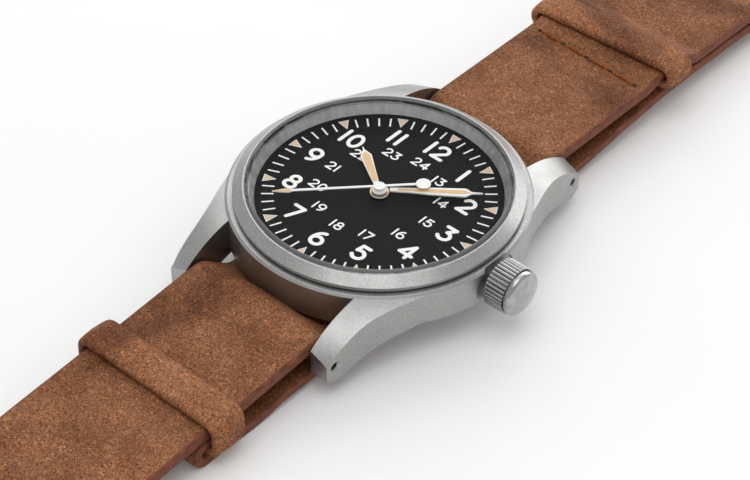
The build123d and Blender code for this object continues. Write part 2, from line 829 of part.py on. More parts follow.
with BuildPart() as movement_screws:
    for place in screw_places:
        post(place, bridge_bottom, plate_bottom, screw_radius)
        post(place, bridge_bottom - screw_head_height, bridge_bottom, screw_head_radius)
    post(cock_foot, cock_bottom, plate_bottom, screw_radius)
    post(cock_foot, cock_bottom - screw_head_height, cock_bottom, screw_head_radius)
    post(crown_wheel_place, bridge_bottom - screw_head_height, bridge_bottom, crown_wheel_post + bridge_gap)

# Going train


def arbor(place, bottom, top, radius):
    """Arbor with a thinner pivot at both ends, in its two jewels."""
    post(place, bottom, top, radius)
    post(place, pivot_bottom, pivot_top - snug_fit, pivot_radius)


arbor_top = plate_bottom - wheel_gap
arbor_bottom = bridge_top + layer_gap

with BuildPart() as barrel_drum:
    post(barrel_place, barrel_bottom, drum_top, drum_radius)
    barrel_tip = facing_tip((0, 0), barrel_place, barrel_teeth)
    barrel_rim = level(barrel_place, center_pinion_bottom + layer_gap)
    toothed_disc(barrel_rim, motion_wheel_thickness, barrel_teeth, barrel_module, barrel_tip)
    post(barrel_place, barrel_bottom, drum_top - drum_wall, drum_radius - drum_wall, Mode.SUBTRACT)
    post(barrel_place, barrel_bottom, drum_top, barrel_arbor_radius + running_fit, Mode.SUBTRACT)


def spiral(plane, start_radius, pitch, half_turns, width, height):
    """Flat spiral spring of half-circles."""
    with BuildSketch(plane) as coil:
        with BuildLine():
            for index in range(half_turns):
                turn = index % 2
                CenterArc((turn * pitch / 2, 0), start_radius + index * pitch / 2, 180 * turn, 180)
        trace(line_width=width)
    extrude(coil.sketch, amount=height)


mainspring_pitch = 3.6 * plan_unit
mainspring_half_turns = 18
mainspring_width = 1.2 * plan_unit
mainspring_height = 50 * level_unit
hairspring_start = 4.5 * plan_unit
hairspring_pitch = 2.4 * plan_unit
hairspring_half_turns = 12
hairspring_width = 0.6 * plan_unit

with BuildPart() as mainspring:
    spiral(
        level(barrel_place, barrel_bottom + layer_gap),
        barrel_arbor_radius + mainspring_width,
        mainspring_pitch,
        mainspring_half_turns,
        mainspring_width,
        mainspring_height,
    )

with BuildPart() as hairspring:
    spiral(
        level(balance_place, hairspring_bottom),
        hairspring_start,
        hairspring_pitch,
        hairspring_half_turns,
        hairspring_width,
        hairspring_height,
    )

ratchet_bore = 6 * plan_unit
ratchet_screw_radius = 10 * plan_unit
winding_wheel_top = winding_wheel_bottom + winding_wheel_thickness

with BuildPart() as barrel_arbor:
    post(barrel_place, winding_wheel_bottom, drum_top, ratchet_bore)
    post(barrel_place, winding_wheel_top, drum_top, barrel_arbor_radius)
    post(barrel_place, drum_top, recess_floor, pin_radius)
    post(barrel_place, winding_wheel_bottom, winding_wheel_bottom + overrun, screw_radius, Mode.SUBTRACT)

with BuildPart() as ratchet_wheel:
    toothed_disc(
        level(barrel_place, winding_wheel_bottom),
        winding_wheel_thickness,
        ratchet_teeth,
        ratchet_module,
        facing_tip(crown_wheel_place, barrel_place, ratchet_teeth),
        bore=ratchet_bore,
    )

with BuildPart() as ratchet_screw:
    post(barrel_place, winding_wheel_bottom - screw_head_height, winding_wheel_bottom, ratchet_screw_radius)
    post(barrel_place, winding_wheel_bottom, winding_wheel_bottom + overrun, screw_radius)


def train_wheel(place, bottom, teeth, module, tip_angle):
    """Thin wheel of the train with windows."""
    toothed_disc(level(place, bottom), wheel_thickness, teeth, module, tip_angle, window_count)


def pinion(place, bottom, top, teeth, module, tip_angle):
    """Pinion between two heights."""
    toothed_disc(level(place, bottom), top - bottom, teeth, module, tip_angle)


with BuildPart() as center_wheel:
    train_wheel((0, 0), center_wheel_bottom, center_teeth, center_module, bearing((0, 0), third_place))
    pinion_tip = bearing((0, 0), barrel_place)
    pinion((0, 0), center_pinion_bottom, arbor_top, center_pinion_teeth, barrel_module, pinion_tip)
    post((0, 0), center_wheel_bottom, plate_top, center_pipe_radius)
    post((0, 0), center_wheel_bottom, plate_top, center_pipe_bore, Mode.SUBTRACT)

with BuildPart() as third_wheel:
    train_wheel(third_place, third_wheel_bottom, third_teeth, third_module, bearing(third_place, (0, 0)))
    pinion_tip = facing_tip((0, 0), third_place, third_pinion_teeth)
    pinion(third_place, third_pinion_bottom, third_pinion_top, third_pinion_teeth, center_module, pinion_tip)
    arbor(third_place, arbor_bottom, arbor_top, arbor_radius)

with BuildPart() as fourth_wheel:
    train_wheel((0, 0), fourth_wheel_bottom, fourth_teeth, fourth_module, bearing((0, 0), escape_place))
    pinion_tip = facing_tip(third_place, (0, 0), fourth_pinion_teeth)
    pinion((0, 0), fourth_pinion_bottom, fourth_pinion_top, fourth_pinion_teeth, third_module, pinion_tip)
    post((0, 0), pivot_bottom, arbor_bottom, pivot_radius)
    post((0, 0), arbor_bottom, seconds_hand_top - seconds_hand_thickness, hand_arbor_radius)

escape_module = 2.4 * plan_unit

with BuildPart() as escape_wheel:
    train_wheel(escape_place, escape_wheel_bottom, escape_teeth, escape_module, line_of_centers)
    pinion_tip = facing_tip((0, 0), escape_place, escape_pinion_teeth)
    pinion_span = (escape_pinion_bottom, escape_pinion_top)
    pinion(escape_place, *pinion_span, escape_pinion_teeth, fourth_module, pinion_tip)
    arbor(escape_place, arbor_bottom, arbor_top, hand_arbor_radius)

pallet_spread = 32
pallet_reach = 21.6 * plan_unit
fork_width = 2.4 * plan_unit
roller_radius = 4.5 * plan_unit
fork_end = balance_distance - roller_radius
roller_bottom = movement_bottom + 160 * level_unit
roller_thickness = 5 * level_unit
impulse_pin_place = 3.4 * plan_unit
impulse_pin_radius = 0.5 * plan_unit

with BuildPart() as pallet_fork:
    with BuildSketch(level((0, 0), pallet_bottom)):
        link(pallet_place, polar(fork_end, line_of_centers, pallet_place), fork_width)
        for turn in (-pallet_spread, pallet_spread):
            link(pallet_place, polar(pallet_reach, line_of_centers + turn, escape_place), fork_width)
    extrude(amount=wheel_thickness)
    post(pallet_place, pallet_bridge_bottom, pivot_top - snug_fit, pivot_radius)

with BuildPart() as balance_wheel:
    with BuildSketch(level(balance_place, balance_bottom)):
        Circle(balance_radius)
        Circle(balance_radius - balance_rim, mode=Mode.SUBTRACT)
        Rectangle(2 * balance_radius - balance_rim, balance_rim)
    extrude(amount=balance_thickness)
    post(balance_place, cock_top + wheel_gap, arbor_top, hand_arbor_radius)
    post(balance_place, cock_top - jewel_thickness, pivot_top - snug_fit, pivot_radius)
    post(balance_place, roller_bottom, roller_bottom + roller_thickness, roller_radius)
    impulse_place = polar(impulse_pin_place, line_of_centers + 180, balance_place)
    post(impulse_place, roller_bottom, pallet_bottom + wheel_thickness, impulse_pin_radius)

# Motion works

with BuildPart() as cannon_pinion:
    cannon_tip = bearing((0, 0), minute_place)
    motion_top = motion_bottom + motion_wheel_thickness
    pinion((0, 0), motion_bottom, motion_top, cannon_teeth, motion_module, cannon_tip)
    post((0, 0), motion_bottom, minute_hand_top - hand_thickness, cannon_radius)
    post((0, 0), motion_bottom, plate_top, center_pipe_radius, Mode.SUBTRACT)
    post((0, 0), plate_top, minute_hand_top, center_pipe_bore, Mode.SUBTRACT)

with BuildPart() as minute_wheel:
    minute_tip = facing_tip((0, 0), minute_place, minute_wheel_teeth)
    pinion(minute_place, motion_bottom, motion_top, minute_wheel_teeth, motion_module, minute_tip)
    hour_wheel_top = hour_wheel_bottom + hour_wheel_thickness
    pinion_tip = bearing(minute_place, (0, 0))
    pinion(minute_place, motion_bottom, hour_wheel_top, minute_pinion_teeth, hour_module, pinion_tip)
    post(minute_place, motion_bottom, plate_top, pivot_radius + running_fit, Mode.SUBTRACT)

with BuildPart() as hour_wheel:
    hour_tip = facing_tip(minute_place, (0, 0), hour_teeth)
    pinion((0, 0), hour_wheel_bottom, hour_wheel_top, hour_teeth, hour_module, hour_tip)
    post((0, 0), hour_wheel_bottom, hour_hand_top - hand_thickness, hour_pipe_radius)
    post((0, 0), hour_wheel_bottom, hour_hand_top, hour_pipe_bore, Mode.SUBTRACT)

with BuildPart() as setting_wheel:
    setting_tip = facing_tip(minute_place, setting_place, setting_teeth)
    pinion(setting_place, motion_bottom, motion_top, setting_teeth, motion_module, setting_tip)
    post(setting_place, motion_bottom, motion_top, pin_radius + running_fit, Mode.SUBTRACT)

# Winding and setting works

with BuildPart() as crown_wheel:
    crown_wheel_tip = bearing(crown_wheel_place, barrel_place)
    pinion(
        crown_wheel_place,
        winding_wheel_bottom,
        winding_wheel_top,
        crown_wheel_teeth,
        ratchet_module,
        crown_wheel_tip,
    )
    bore = crown_wheel_post + running_fit
    post(crown_wheel_place, winding_wheel_bottom, winding_wheel_top, bore, Mode.SUBTRACT)

with BuildPart() as winding_pinion:
    winding_length = winding_end - winding_start
    toothed_disc(across(winding_start, stem_height), winding_length, winding_teeth, winding_module, -90)
    rod(winding_start, winding_end, 0, stem_height, stem_radius + running_fit, Mode.SUBTRACT)

clutch_teeth = 14
clutch_module = clutch_radius / (clutch_teeth / 2 + tooth_tip_share)

with BuildPart() as clutch_wheel:
    clutch_length = clutch_end - clutch_start
    toothed_disc(across(clutch_start, stem_height), clutch_length, clutch_teeth, clutch_module, -90)
    with BuildSketch(across(clutch_groove_start, stem_height)):
        Circle(clutch_radius + overrun)
        Circle(clutch_groove_radius, mode=Mode.SUBTRACT)
    extrude(amount=clutch_groove_end - clutch_groove_start, mode=Mode.SUBTRACT)
    with BuildSketch(across(clutch_start, stem_height)):
        Rectangle(stem_square + running_fit, stem_square + running_fit)
    extrude(amount=clutch_end - clutch_start, mode=Mode.SUBTRACT)

with BuildPart() as setting_lever:
    lever_tip = polar(lever_arm, -90 - lever_swing / 2, lever_pivot)
    with BuildSketch(level((0, 0), lever_bottom)):
        link(lever_pivot, lever_tip, lever_width)
        with Locations(lever_pivot):
            Circle(pin_radius + bridge_gap)
            Circle(pin_radius + running_fit, mode=Mode.SUBTRACT)
    extrude(amount=lever_thickness)
    pin_bottom = stem_height + stem_groove_radius + layer_gap
    post(lever_tip, pin_bottom, lever_bottom, lever_pin_radius)

with BuildPart() as yoke:
    yoke_angle = 90 - yoke_swing / 2
    with BuildSketch(level((0, 0), yoke_bottom)):
        link(yoke_pivot, polar(yoke_arm, yoke_angle, yoke_pivot), yoke_finger_width)
        link(yoke_pivot, polar(yoke_arm / 2, yoke_angle, yoke_pivot), yoke_width)
        with Locations(yoke_pivot):
            Circle(pin_radius + bridge_gap)
            Circle(pin_radius + running_fit, mode=Mode.SUBTRACT)
    extrude(amount=yoke_thickness)

jumper_foot = (72 * plan_unit, 32 * plan_unit)
jumper_corner = (88 * plan_unit, 32 * plan_unit)
jumper_tip = (93 * plan_unit, 17 * plan_unit)

with BuildPart() as setting_jumper:
    with BuildSketch(level((0, 0), lever_bottom)):
        link(jumper_foot, jumper_corner, 2 * pin_radius)
        link(jumper_corner, jumper_tip, yoke_finger_width)
    extrude(amount=lever_thickness)
    post(jumper_foot, recess_floor, lever_bottom, pin_radius)

with BuildPart() as click:
    with BuildSketch(level((0, 0), winding_wheel_bottom)):
        link(click_place, click_tip, 2 * bridge_gap)
        with Locations(click_place):
            Circle(click_radius)
            Circle(click_pin + running_fit, mode=Mode.SUBTRACT)
    extrude(amount=winding_wheel_thickness)

with BuildPart() as click_spring:
    with BuildSketch(level((0, 0), winding_wheel_bottom)):
        link(click_spring_foot, click_spring_end, hairspring_pitch)
    extrude(amount=winding_recess_top - winding_wheel_bottom)

# Hands


def hand_outline(shares, length, width, angle):
    """Straight-sided hand outline along its angle, mirrored about its axis."""
    side = [(along * length, across_share * width / 2) for along, across_share in shares]
    other = [(reach, -half) for reach, half in reversed(side)]
    with Locations(Location((0, 0), angle)):
        Polygon(*side, *other, align=None)


with BuildPart() as hour_hand:
    with BuildSketch(level((0, 0), hour_hand_top - hand_thickness)):
        hand_outline(hour_outline_shares, hour_hand_length, hour_hand_width, hour_angle)
        Circle(hour_hub_radius)
        Circle(hour_pipe_bore, mode=Mode.SUBTRACT)
    extrude(amount=hand_thickness)

with BuildPart() as minute_hand:
    with BuildSketch(level((0, 0), minute_hand_top - hand_thickness)):
        hand_outline(minute_outline_shares, minute_hand_length, minute_hand_width, minute_angle)
        Circle(minute_hub_radius)
        Circle(center_pipe_bore, mode=Mode.SUBTRACT)
    extrude(amount=hand_thickness)

with BuildPart() as seconds_hand:
    with BuildSketch(level((0, 0), seconds_hand_top - seconds_hand_thickness)):
        hand_outline(seconds_outline_shares, seconds_hand_length, seconds_blade_width, seconds_angle)
        tail = polar(-seconds_tail_length, seconds_angle)
        link((0, 0), tail, seconds_shaft_width)
        with Locations(tail):
            Circle(seconds_tail_radius)
        Circle(seconds_hub_radius)
    extrude(amount=seconds_hand_thickness)

# Spring bars: a tube with one fixed tip, and one sprung tip at the crown side

spring_bar_half = lug_gap / 2 - 2 * wheel_gap
tip_radius = lug_hole_radius - 2 * layer_gap
tip_end = lug_gap / 2 + spring_bar_tip_reach
tip_start = tip_end - spring_bar_tip_length - spring_bar_tip_reach

with BuildPart() as spring_bar_tubes:
    for side in (-1, 1):
        place = side * spring_bar_place
        rod(-spring_bar_half, spring_bar_half, place, spring_bar_height, spring_bar_radius)
        rod(-tip_end, -spring_bar_half, place, spring_bar_height, tip_radius)
        bore_start = spring_bar_half - spring_bar_bore_depth - spring_bar_tip_reach
        rod(bore_start, spring_bar_half, place, spring_bar_height, tip_radius + running_fit, Mode.SUBTRACT)

with BuildPart() as spring_bar_tip_twelve:
    rod(tip_start, tip_end, spring_bar_place, spring_bar_height, tip_radius)

with BuildPart() as spring_bar_tip_six:
    rod(tip_start, tip_end, -spring_bar_place, spring_bar_height, tip_radius)

# Straps: centre lines in the plane across the watch, given as reach from the middle and height

tail_length = 165.0
buckle_offset = 90.4
tail_taper = 14.0
tail_tip_width = 5.0
hole_radius = 1.0
hole_pitch = 7.0
hole_count = 7
hole_margin = 23.0
dive_angle = 38.0
six_slope = 3.2
strap_bend = 3.5
hump_margin = 0.6
hump_run = 2.0
seam_offset = 9.0
fold_offset = 13.5
rise_offset = 13.0
flat_end_offset = 18.0
flat_start_offset = 32.0
buckle_bar_radius = 0.6
slot_half_width = 1.3
slot_reach = 3.5
keeper_width = 5.0
keeper_twelve_width = 4.4
keeper_six_width = 4.8
keeper_side_gap = 0.45
keeper_clearance = 0.15
keeper_twelve_rise = 0.25
free_keeper_offset = 28.5
buckle_keeper_offset = 11.5
keeper_twelve_share = 2.0
keeper_six_share = 1.602
six_table_share = 4.07
six_route_shares = ((1.574, 0.823), (1.875, 0.795), (2.315, 0.676), (2.639, 0.572))
twelve_route_shares = ((0.0785, 0.867), (0.456, 0.841))

buckle_place = spring_bar_place + buckle_offset
seam_place = buckle_place - seam_offset
fold_end = buckle_place - fold_offset
table_height = long_strap_thickness / 2
under_height = back_bottom - layer_gap - long_strap_thickness / 2
wrap_radius = spring_bar_radius + long_strap_thickness / 2 + snug_fit
strap_crest = spring_bar_height + wrap_radius
buckle_wrap = buckle_bar_radius + long_strap_thickness / 2 + snug_fit
buckle_height = table_height + buckle_wrap
fold_top = buckle_height + buckle_wrap
keeper_twelve_start = spring_bar_place * keeper_twelve_share
keeper_twelve_floor = spring_bar_height + keeper_twelve_rise
keeper_six_start = spring_bar_place * keeper_six_share
hump_height = keeper_twelve_floor + keeper_thickness + long_strap_thickness / 2
hump_start = keeper_twelve_start - hump_margin
hump_end = keeper_twelve_start + keeper_twelve_width + hump_margin
flat_height = keeper_thickness + table_height + 2 * layer_gap
flat_start = buckle_place - flat_start_offset


def bar_corner(slope):
    """Corner of the centre line where it bends over a spring bar and dives under the case."""
    middle = radians((180 + dive_angle - slope) / 2)
    reach = wrap_radius / cos(radians((dive_angle + slope) / 2))
    return (spring_bar_place + reach * cos(middle), spring_bar_height + reach * sin(middle))


def dive_end(corner):
    """Corner where the dive meets the level stretch under the case."""
    return (corner[0] - (corner[1] - under_height) / tan(radians(dive_angle)), under_height)


six_corner = bar_corner(six_slope)
twelve_corner = bar_corner(0)
six_dive = dive_end(six_corner)
six_route = [(-spring_bar_place * along, strap_crest * up) for along, up in reversed(six_route_shares)]
hump_length = flat_start - hump_end
twelve_route = [(hump_end + hump_length * along, strap_crest * up) for along, up in twelve_route_shares]
long_route = [
    (-tail_length, table_height),
    (-spring_bar_place * six_table_share, table_height),
    *six_route,
    (-six_corner[0], six_corner[1]),
    (-six_dive[0], six_dive[1]),
    dive_end(twelve_corner),
    twelve_corner,
    (hump_start - hump_run, strap_crest),
    (hump_start, hump_height),
    (hump_end, hump_height),
    *twelve_route,
    (flat_start, flat_height),
    (buckle_place - flat_end_offset, flat_height),
    (buckle_place - rise_offset, fold_top),
    (seam_place, fold_top),
]
tail_bends = [strap_bend] * 5
under_bends = [wrap_radius, strap_bend, strap_bend, wrap_radius]
hump_bends = [strap_bend / 2] * 3
buckle_bends = [strap_bend] * 5

with BuildPart() as long_strap:
    with BuildSketch(Plane.YZ.offset(-strap_width / 2)):
        with BuildLine():
            FilletPolyline(*long_route, radius=tail_bends + under_bends + hump_bends + buckle_bends)
        trace(line_width=long_strap_thickness)
    extrude(amount=strap_width)
    with BuildSketch():
        for side in (-1, 1):
            Polygon(
                (side * tail_tip_width / 2, -tail_length - overrun),
                (side * strap_width, -tail_length - overrun),
                (side * strap_width, tail_taper - tail_length),
                (side * strap_width / 2, tail_taper - tail_length),
                (side * tail_tip_width / 2, -tail_length),
                align=None,
            )
        for index in range(hole_count):
            with Locations((0, hole_margin + index * hole_pitch - tail_length)):
                Circle(hole_radius)
    extrude(amount=strap_crest, mode=Mode.SUBTRACT)

with BuildPart() as buckle_loop:
    with BuildSketch(Plane.YZ.offset(-strap_width / 2)):
        with BuildLine():
            Line((seam_place, fold_top), (buckle_place, fold_top))
            CenterArc((buckle_place, buckle_height), buckle_wrap, 90, -180)
            Line((buckle_place, table_height), (fold_end, table_height))
        trace(line_width=long_strap_thickness)
    extrude(amount=strap_width)
    with BuildSketch():
        with Locations((0, buckle_place)):
            Rectangle(2 * slot_half_width, 2 * slot_reach)
    extrude(amount=strap_crest, mode=Mode.SUBTRACT)

fold_start_share = 1.8333
fold_back_share = 1.62
short_end_share = 3.148
short_six_shares = ((0.43, 1.0), (0.55, 2.1), (0.68, 2.1))
short_twelve_shares = (
    (0.235, 1.0),
    (0.353, 2.2),
    (0.53, 4.2),
    (0.647, 5.1),
    (0.735, 5.2),
    (0.91, 4.75),
    (1.0, 3.15),
)
fold_start = spring_bar_place * fold_start_share
fold_back = spring_bar_place * fold_back_share
short_end = spring_bar_place * short_end_share
fold_gap = keeper_thickness + layer_gap
short_center = short_strap_thickness / 2
fold_low = short_center + layer_gap
fold_radius = (short_strap_thickness + fold_gap) / 2
fold_top_height = fold_low + 2 * fold_radius
short_six = [(-fold_start * along, short_center * up) for along, up in reversed(short_six_shares)]
short_twelve = [(short_end * along, short_center * up) for along, up in short_twelve_shares]

with BuildPart() as short_strap:
    with BuildSketch(Plane.YZ.offset(-strap_width / 2)):
        with BuildLine():
            Line((-fold_back, fold_top_height), (-fold_start, fold_top_height))
            CenterArc((-fold_start, fold_low + fold_radius), fold_radius, 90, 180)
            short_start = [(-fold_start, fold_low), (-fold_back, fold_low)]
            FilletPolyline(*short_start, *short_six, *short_twelve, radius=strap_bend)
        trace(line_width=short_strap_thickness)
    extrude(amount=strap_width)

keeper_side = strap_width / 2 + keeper_side_gap
keeper_bend = keeper_thickness + 2 * bridge_gap


def keeper(start, width, floor, ceiling):
    """Leather loop round the strap between two inner heights."""
    outer_height = ceiling - floor + 2 * keeper_thickness
    outer_width = 2 * (keeper_side + keeper_thickness)
    with BuildSketch(Plane.XZ.offset(-start)) as loop:
        with Locations((0, (floor + ceiling) / 2)):
            RectangleRounded(outer_width, outer_height, keeper_bend)
            inner_bend = keeper_bend - keeper_thickness
            RectangleRounded(2 * keeper_side, ceiling - floor, inner_bend, mode=Mode.SUBTRACT)
    extrude(loop.sketch, amount=-width)


half_thickness = long_strap_thickness / 2
tab_length = 2.4
tab_thickness = 0.5

with BuildPart() as keeper_twelve:
    twelve_floor = keeper_twelve_floor + keeper_thickness
    twelve_roof = hump_height + half_thickness + keeper_clearance
    keeper(keeper_twelve_start, keeper_twelve_width, twelve_floor, twelve_roof)
    with BuildSketch(level((0, 0), keeper_twelve_floor)):
        with Locations((0, keeper_twelve_start - tab_length / 2)):
            Rectangle(strap_width - keeper_thickness, tab_length)
    extrude(amount=tab_thickness)

with BuildPart() as keeper_six:
    six_floor = fold_low + short_center + layer_gap / 2 + keeper_thickness
    six_ceiling = strap_crest * six_route_shares[0][1] + half_thickness + keeper_clearance
    keeper(-keeper_six_start - keeper_six_width, keeper_six_width, six_floor, six_ceiling)

with BuildPart() as free_keeper:
    free_ceiling = flat_height + half_thickness + keeper_clearance
    keeper(buckle_place - free_keeper_offset, keeper_width, layer_gap / 2 + keeper_thickness, free_ceiling)

with BuildPart() as buckle_keeper:
    buckle_floor = long_strap_thickness + snug_fit + keeper_thickness
    buckle_ceiling = fold_top + half_thickness + keeper_clearance
    keeper(buckle_place - buckle_keeper_offset, keeper_width, buckle_floor, buckle_ceiling)

# Buckle

frame_side_gap = 0.65
frame_wall = 1.6
frame_back = 1.6
frame_length = 12.0
frame_bar = 2.0
frame_height = 1.5
frame_bend = 2.5
tongue_half_width = 0.8
tongue_ring = 1.15
tongue_overhang = 0.6
tongue_rise = 1.5
frame_inner = strap_width / 2 + frame_side_gap
bar_half = frame_inner + frame_wall

with BuildPart() as buckle_frame:
    with BuildSketch(level((0, 0), buckle_height - frame_height / 2)) as frame_plan:
        with Locations((0, buckle_place + (frame_length - frame_back) / 2)):
            Rectangle(2 * bar_half, frame_length + frame_back)
        fillet(frame_plan.vertices().group_by(Axis.Y)[-1], frame_bend)
        with Locations((0, buckle_place + (frame_length - frame_back - frame_bar) / 2)):
            Rectangle(2 * frame_inner, frame_length + frame_back - frame_bar, mode=Mode.SUBTRACT)
    extrude(amount=frame_height)
    rod(-frame_inner, frame_inner, buckle_place, buckle_height, buckle_bar_radius)

with BuildPart() as buckle_tongue:
    with BuildSketch(Plane.YZ.offset(-tongue_half_width)):
        tongue_start = (buckle_place, buckle_height + tongue_ring - buckle_bar_radius)
        tongue_end = (buckle_place + frame_length + tongue_overhang, buckle_height + tongue_rise)
        link(tongue_start, tongue_end, tongue_ring)
        with Locations((buckle_place, buckle_height)):
            Circle(tongue_ring)
            Circle(buckle_bar_radius + running_fit, mode=Mode.SUBTRACT)
    extrude(amount=2 * tongue_half_width)

# Files

pieces = {
    "case_middle": case_middle,
    "bezel": bezel,
    "crystal": crystal,
    "crystal_gasket": crystal_gasket,
    "rehaut": rehaut,
    "dial": dial,
    "case_back": case_back,
    "case_back_gasket": case_back_gasket,
    "crown_tube": crown_tube,
    "crown_gasket": crown_gasket,
    "crown": crown,
    "stem": stem,
    "movement_ring": movement_ring,
    "case_clamps": case_clamps,
    "main_plate": main_plate,
    "barrel_bridge": barrel_bridge,
    "train_bridge": train_bridge,
    "pallet_bridge": pallet_bridge,
    "balance_cock": balance_cock,
    "jewels": jewels,
    "movement_screws": movement_screws,
    "barrel_drum": barrel_drum,
    "mainspring": mainspring,
    "barrel_arbor": barrel_arbor,
    "ratchet_wheel": ratchet_wheel,
    "ratchet_screw": ratchet_screw,
    "center_wheel": center_wheel,
    "third_wheel": third_wheel,
    "fourth_wheel": fourth_wheel,
    "escape_wheel": escape_wheel,
    "pallet_fork": pallet_fork,
    "balance_wheel": balance_wheel,
    "hairspring": hairspring,
    "cannon_pinion": cannon_pinion,
    "minute_wheel": minute_wheel,
    "hour_wheel": hour_wheel,
    "setting_wheel": setting_wheel,
    "crown_wheel": crown_wheel,
    "winding_pinion": winding_pinion,
    "clutch_wheel": clutch_wheel,
    "setting_lever": setting_lever,
    "setting_jumper": setting_jumper,
    "yoke": yoke,
    "click": click,
    "click_spring": click_spring,
    "hour_hand": hour_hand,
    "minute_hand": minute_hand,
    "seconds_hand": seconds_hand,
    "spring_bar_tubes": spring_bar_tubes,
    "spring_bar_tip_twelve": spring_bar_tip_twelve,
    "spring_bar_tip_six": spring_bar_tip_six,
    "long_strap": long_strap,
    "buckle_loop": buckle_loop,
    "short_strap": short_strap,
    "keeper_twelve": keeper_twelve,
    "keeper_six": keeper_six,
    "free_keeper": free_keeper,
    "buckle_keeper": buckle_keeper,
    "buckle_frame": buckle_frame,
    "buckle_tongue": buckle_tongue,
}

for name, piece in pieces.items():
    piece.part.label = name
    export_step(piece.part, f"parts/{name}.step")
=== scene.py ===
from math import cos, pi, radians, sin, tan

import bmesh
import bpy
from mathutils import Matrix, Vector
from mathutils.bvhtree import BVHTree


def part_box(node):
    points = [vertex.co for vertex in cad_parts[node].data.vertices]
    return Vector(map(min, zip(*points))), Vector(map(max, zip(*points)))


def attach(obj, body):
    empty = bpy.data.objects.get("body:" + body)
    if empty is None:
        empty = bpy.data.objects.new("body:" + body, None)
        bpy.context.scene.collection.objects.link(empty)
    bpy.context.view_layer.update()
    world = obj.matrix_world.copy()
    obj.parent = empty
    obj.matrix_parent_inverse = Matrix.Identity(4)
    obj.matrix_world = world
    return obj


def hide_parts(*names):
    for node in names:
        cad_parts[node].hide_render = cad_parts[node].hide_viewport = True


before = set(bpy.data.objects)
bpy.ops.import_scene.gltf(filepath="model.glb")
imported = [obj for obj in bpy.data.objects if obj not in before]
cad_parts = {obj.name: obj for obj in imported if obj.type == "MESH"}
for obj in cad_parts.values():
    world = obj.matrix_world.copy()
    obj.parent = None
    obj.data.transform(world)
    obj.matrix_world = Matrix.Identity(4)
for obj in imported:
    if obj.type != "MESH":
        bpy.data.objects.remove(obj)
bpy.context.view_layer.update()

mm = 0.001
dial_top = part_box("dial")[1][2]


# Camera, in degrees and millimetres

camera_azimuth = 41.798
camera_elevation = 42.271
camera_roll = 0.288
camera_distance = 314.46
camera_sideways = -0.52
camera_upward = -5.509
camera_lens = 126.216
camera_sensor = 36
camera_near = 10


def make_camera():
    """Camera at the photographed angle, aimed close to the middle of the dial."""
    azimuth, elevation = radians(camera_azimuth), radians(camera_elevation)
    roll = radians(camera_roll)
    back = Vector((sin(azimuth) * cos(elevation), -cos(azimuth) * cos(elevation), sin(elevation)))
    right = Vector((cos(azimuth), sin(azimuth), 0))
    up = back.cross(right)
    rolled_right = right * cos(roll) + up * sin(roll)
    rolled_up = up * cos(roll) - right * sin(roll)
    place = Vector((0, 0, dial_top)) + rolled_right * (camera_sideways * mm)
    place += rolled_up * (camera_upward * mm)
    place += back * (camera_distance * mm)
    data = bpy.data.cameras.new("camera")
    data.sensor_width = camera_sensor
    data.lens = camera_lens
    data.clip_start = camera_near * mm
    camera = bpy.data.objects.new("camera", data)
    bpy.context.collection.objects.link(camera)
    turn = Matrix((rolled_right, rolled_up, back)).transposed().to_4x4()
    camera.matrix_world = Matrix.Translation(place) @ turn
    bpy.context.scene.camera = camera


make_camera()


# Material helpers: the sockets of a mix node that carry colours, and the usual ends of a noise

mix_inputs = (6, 7)
mix_output = 2
noise_low = 0.3
noise_high = 0.7
edge_samples = 6


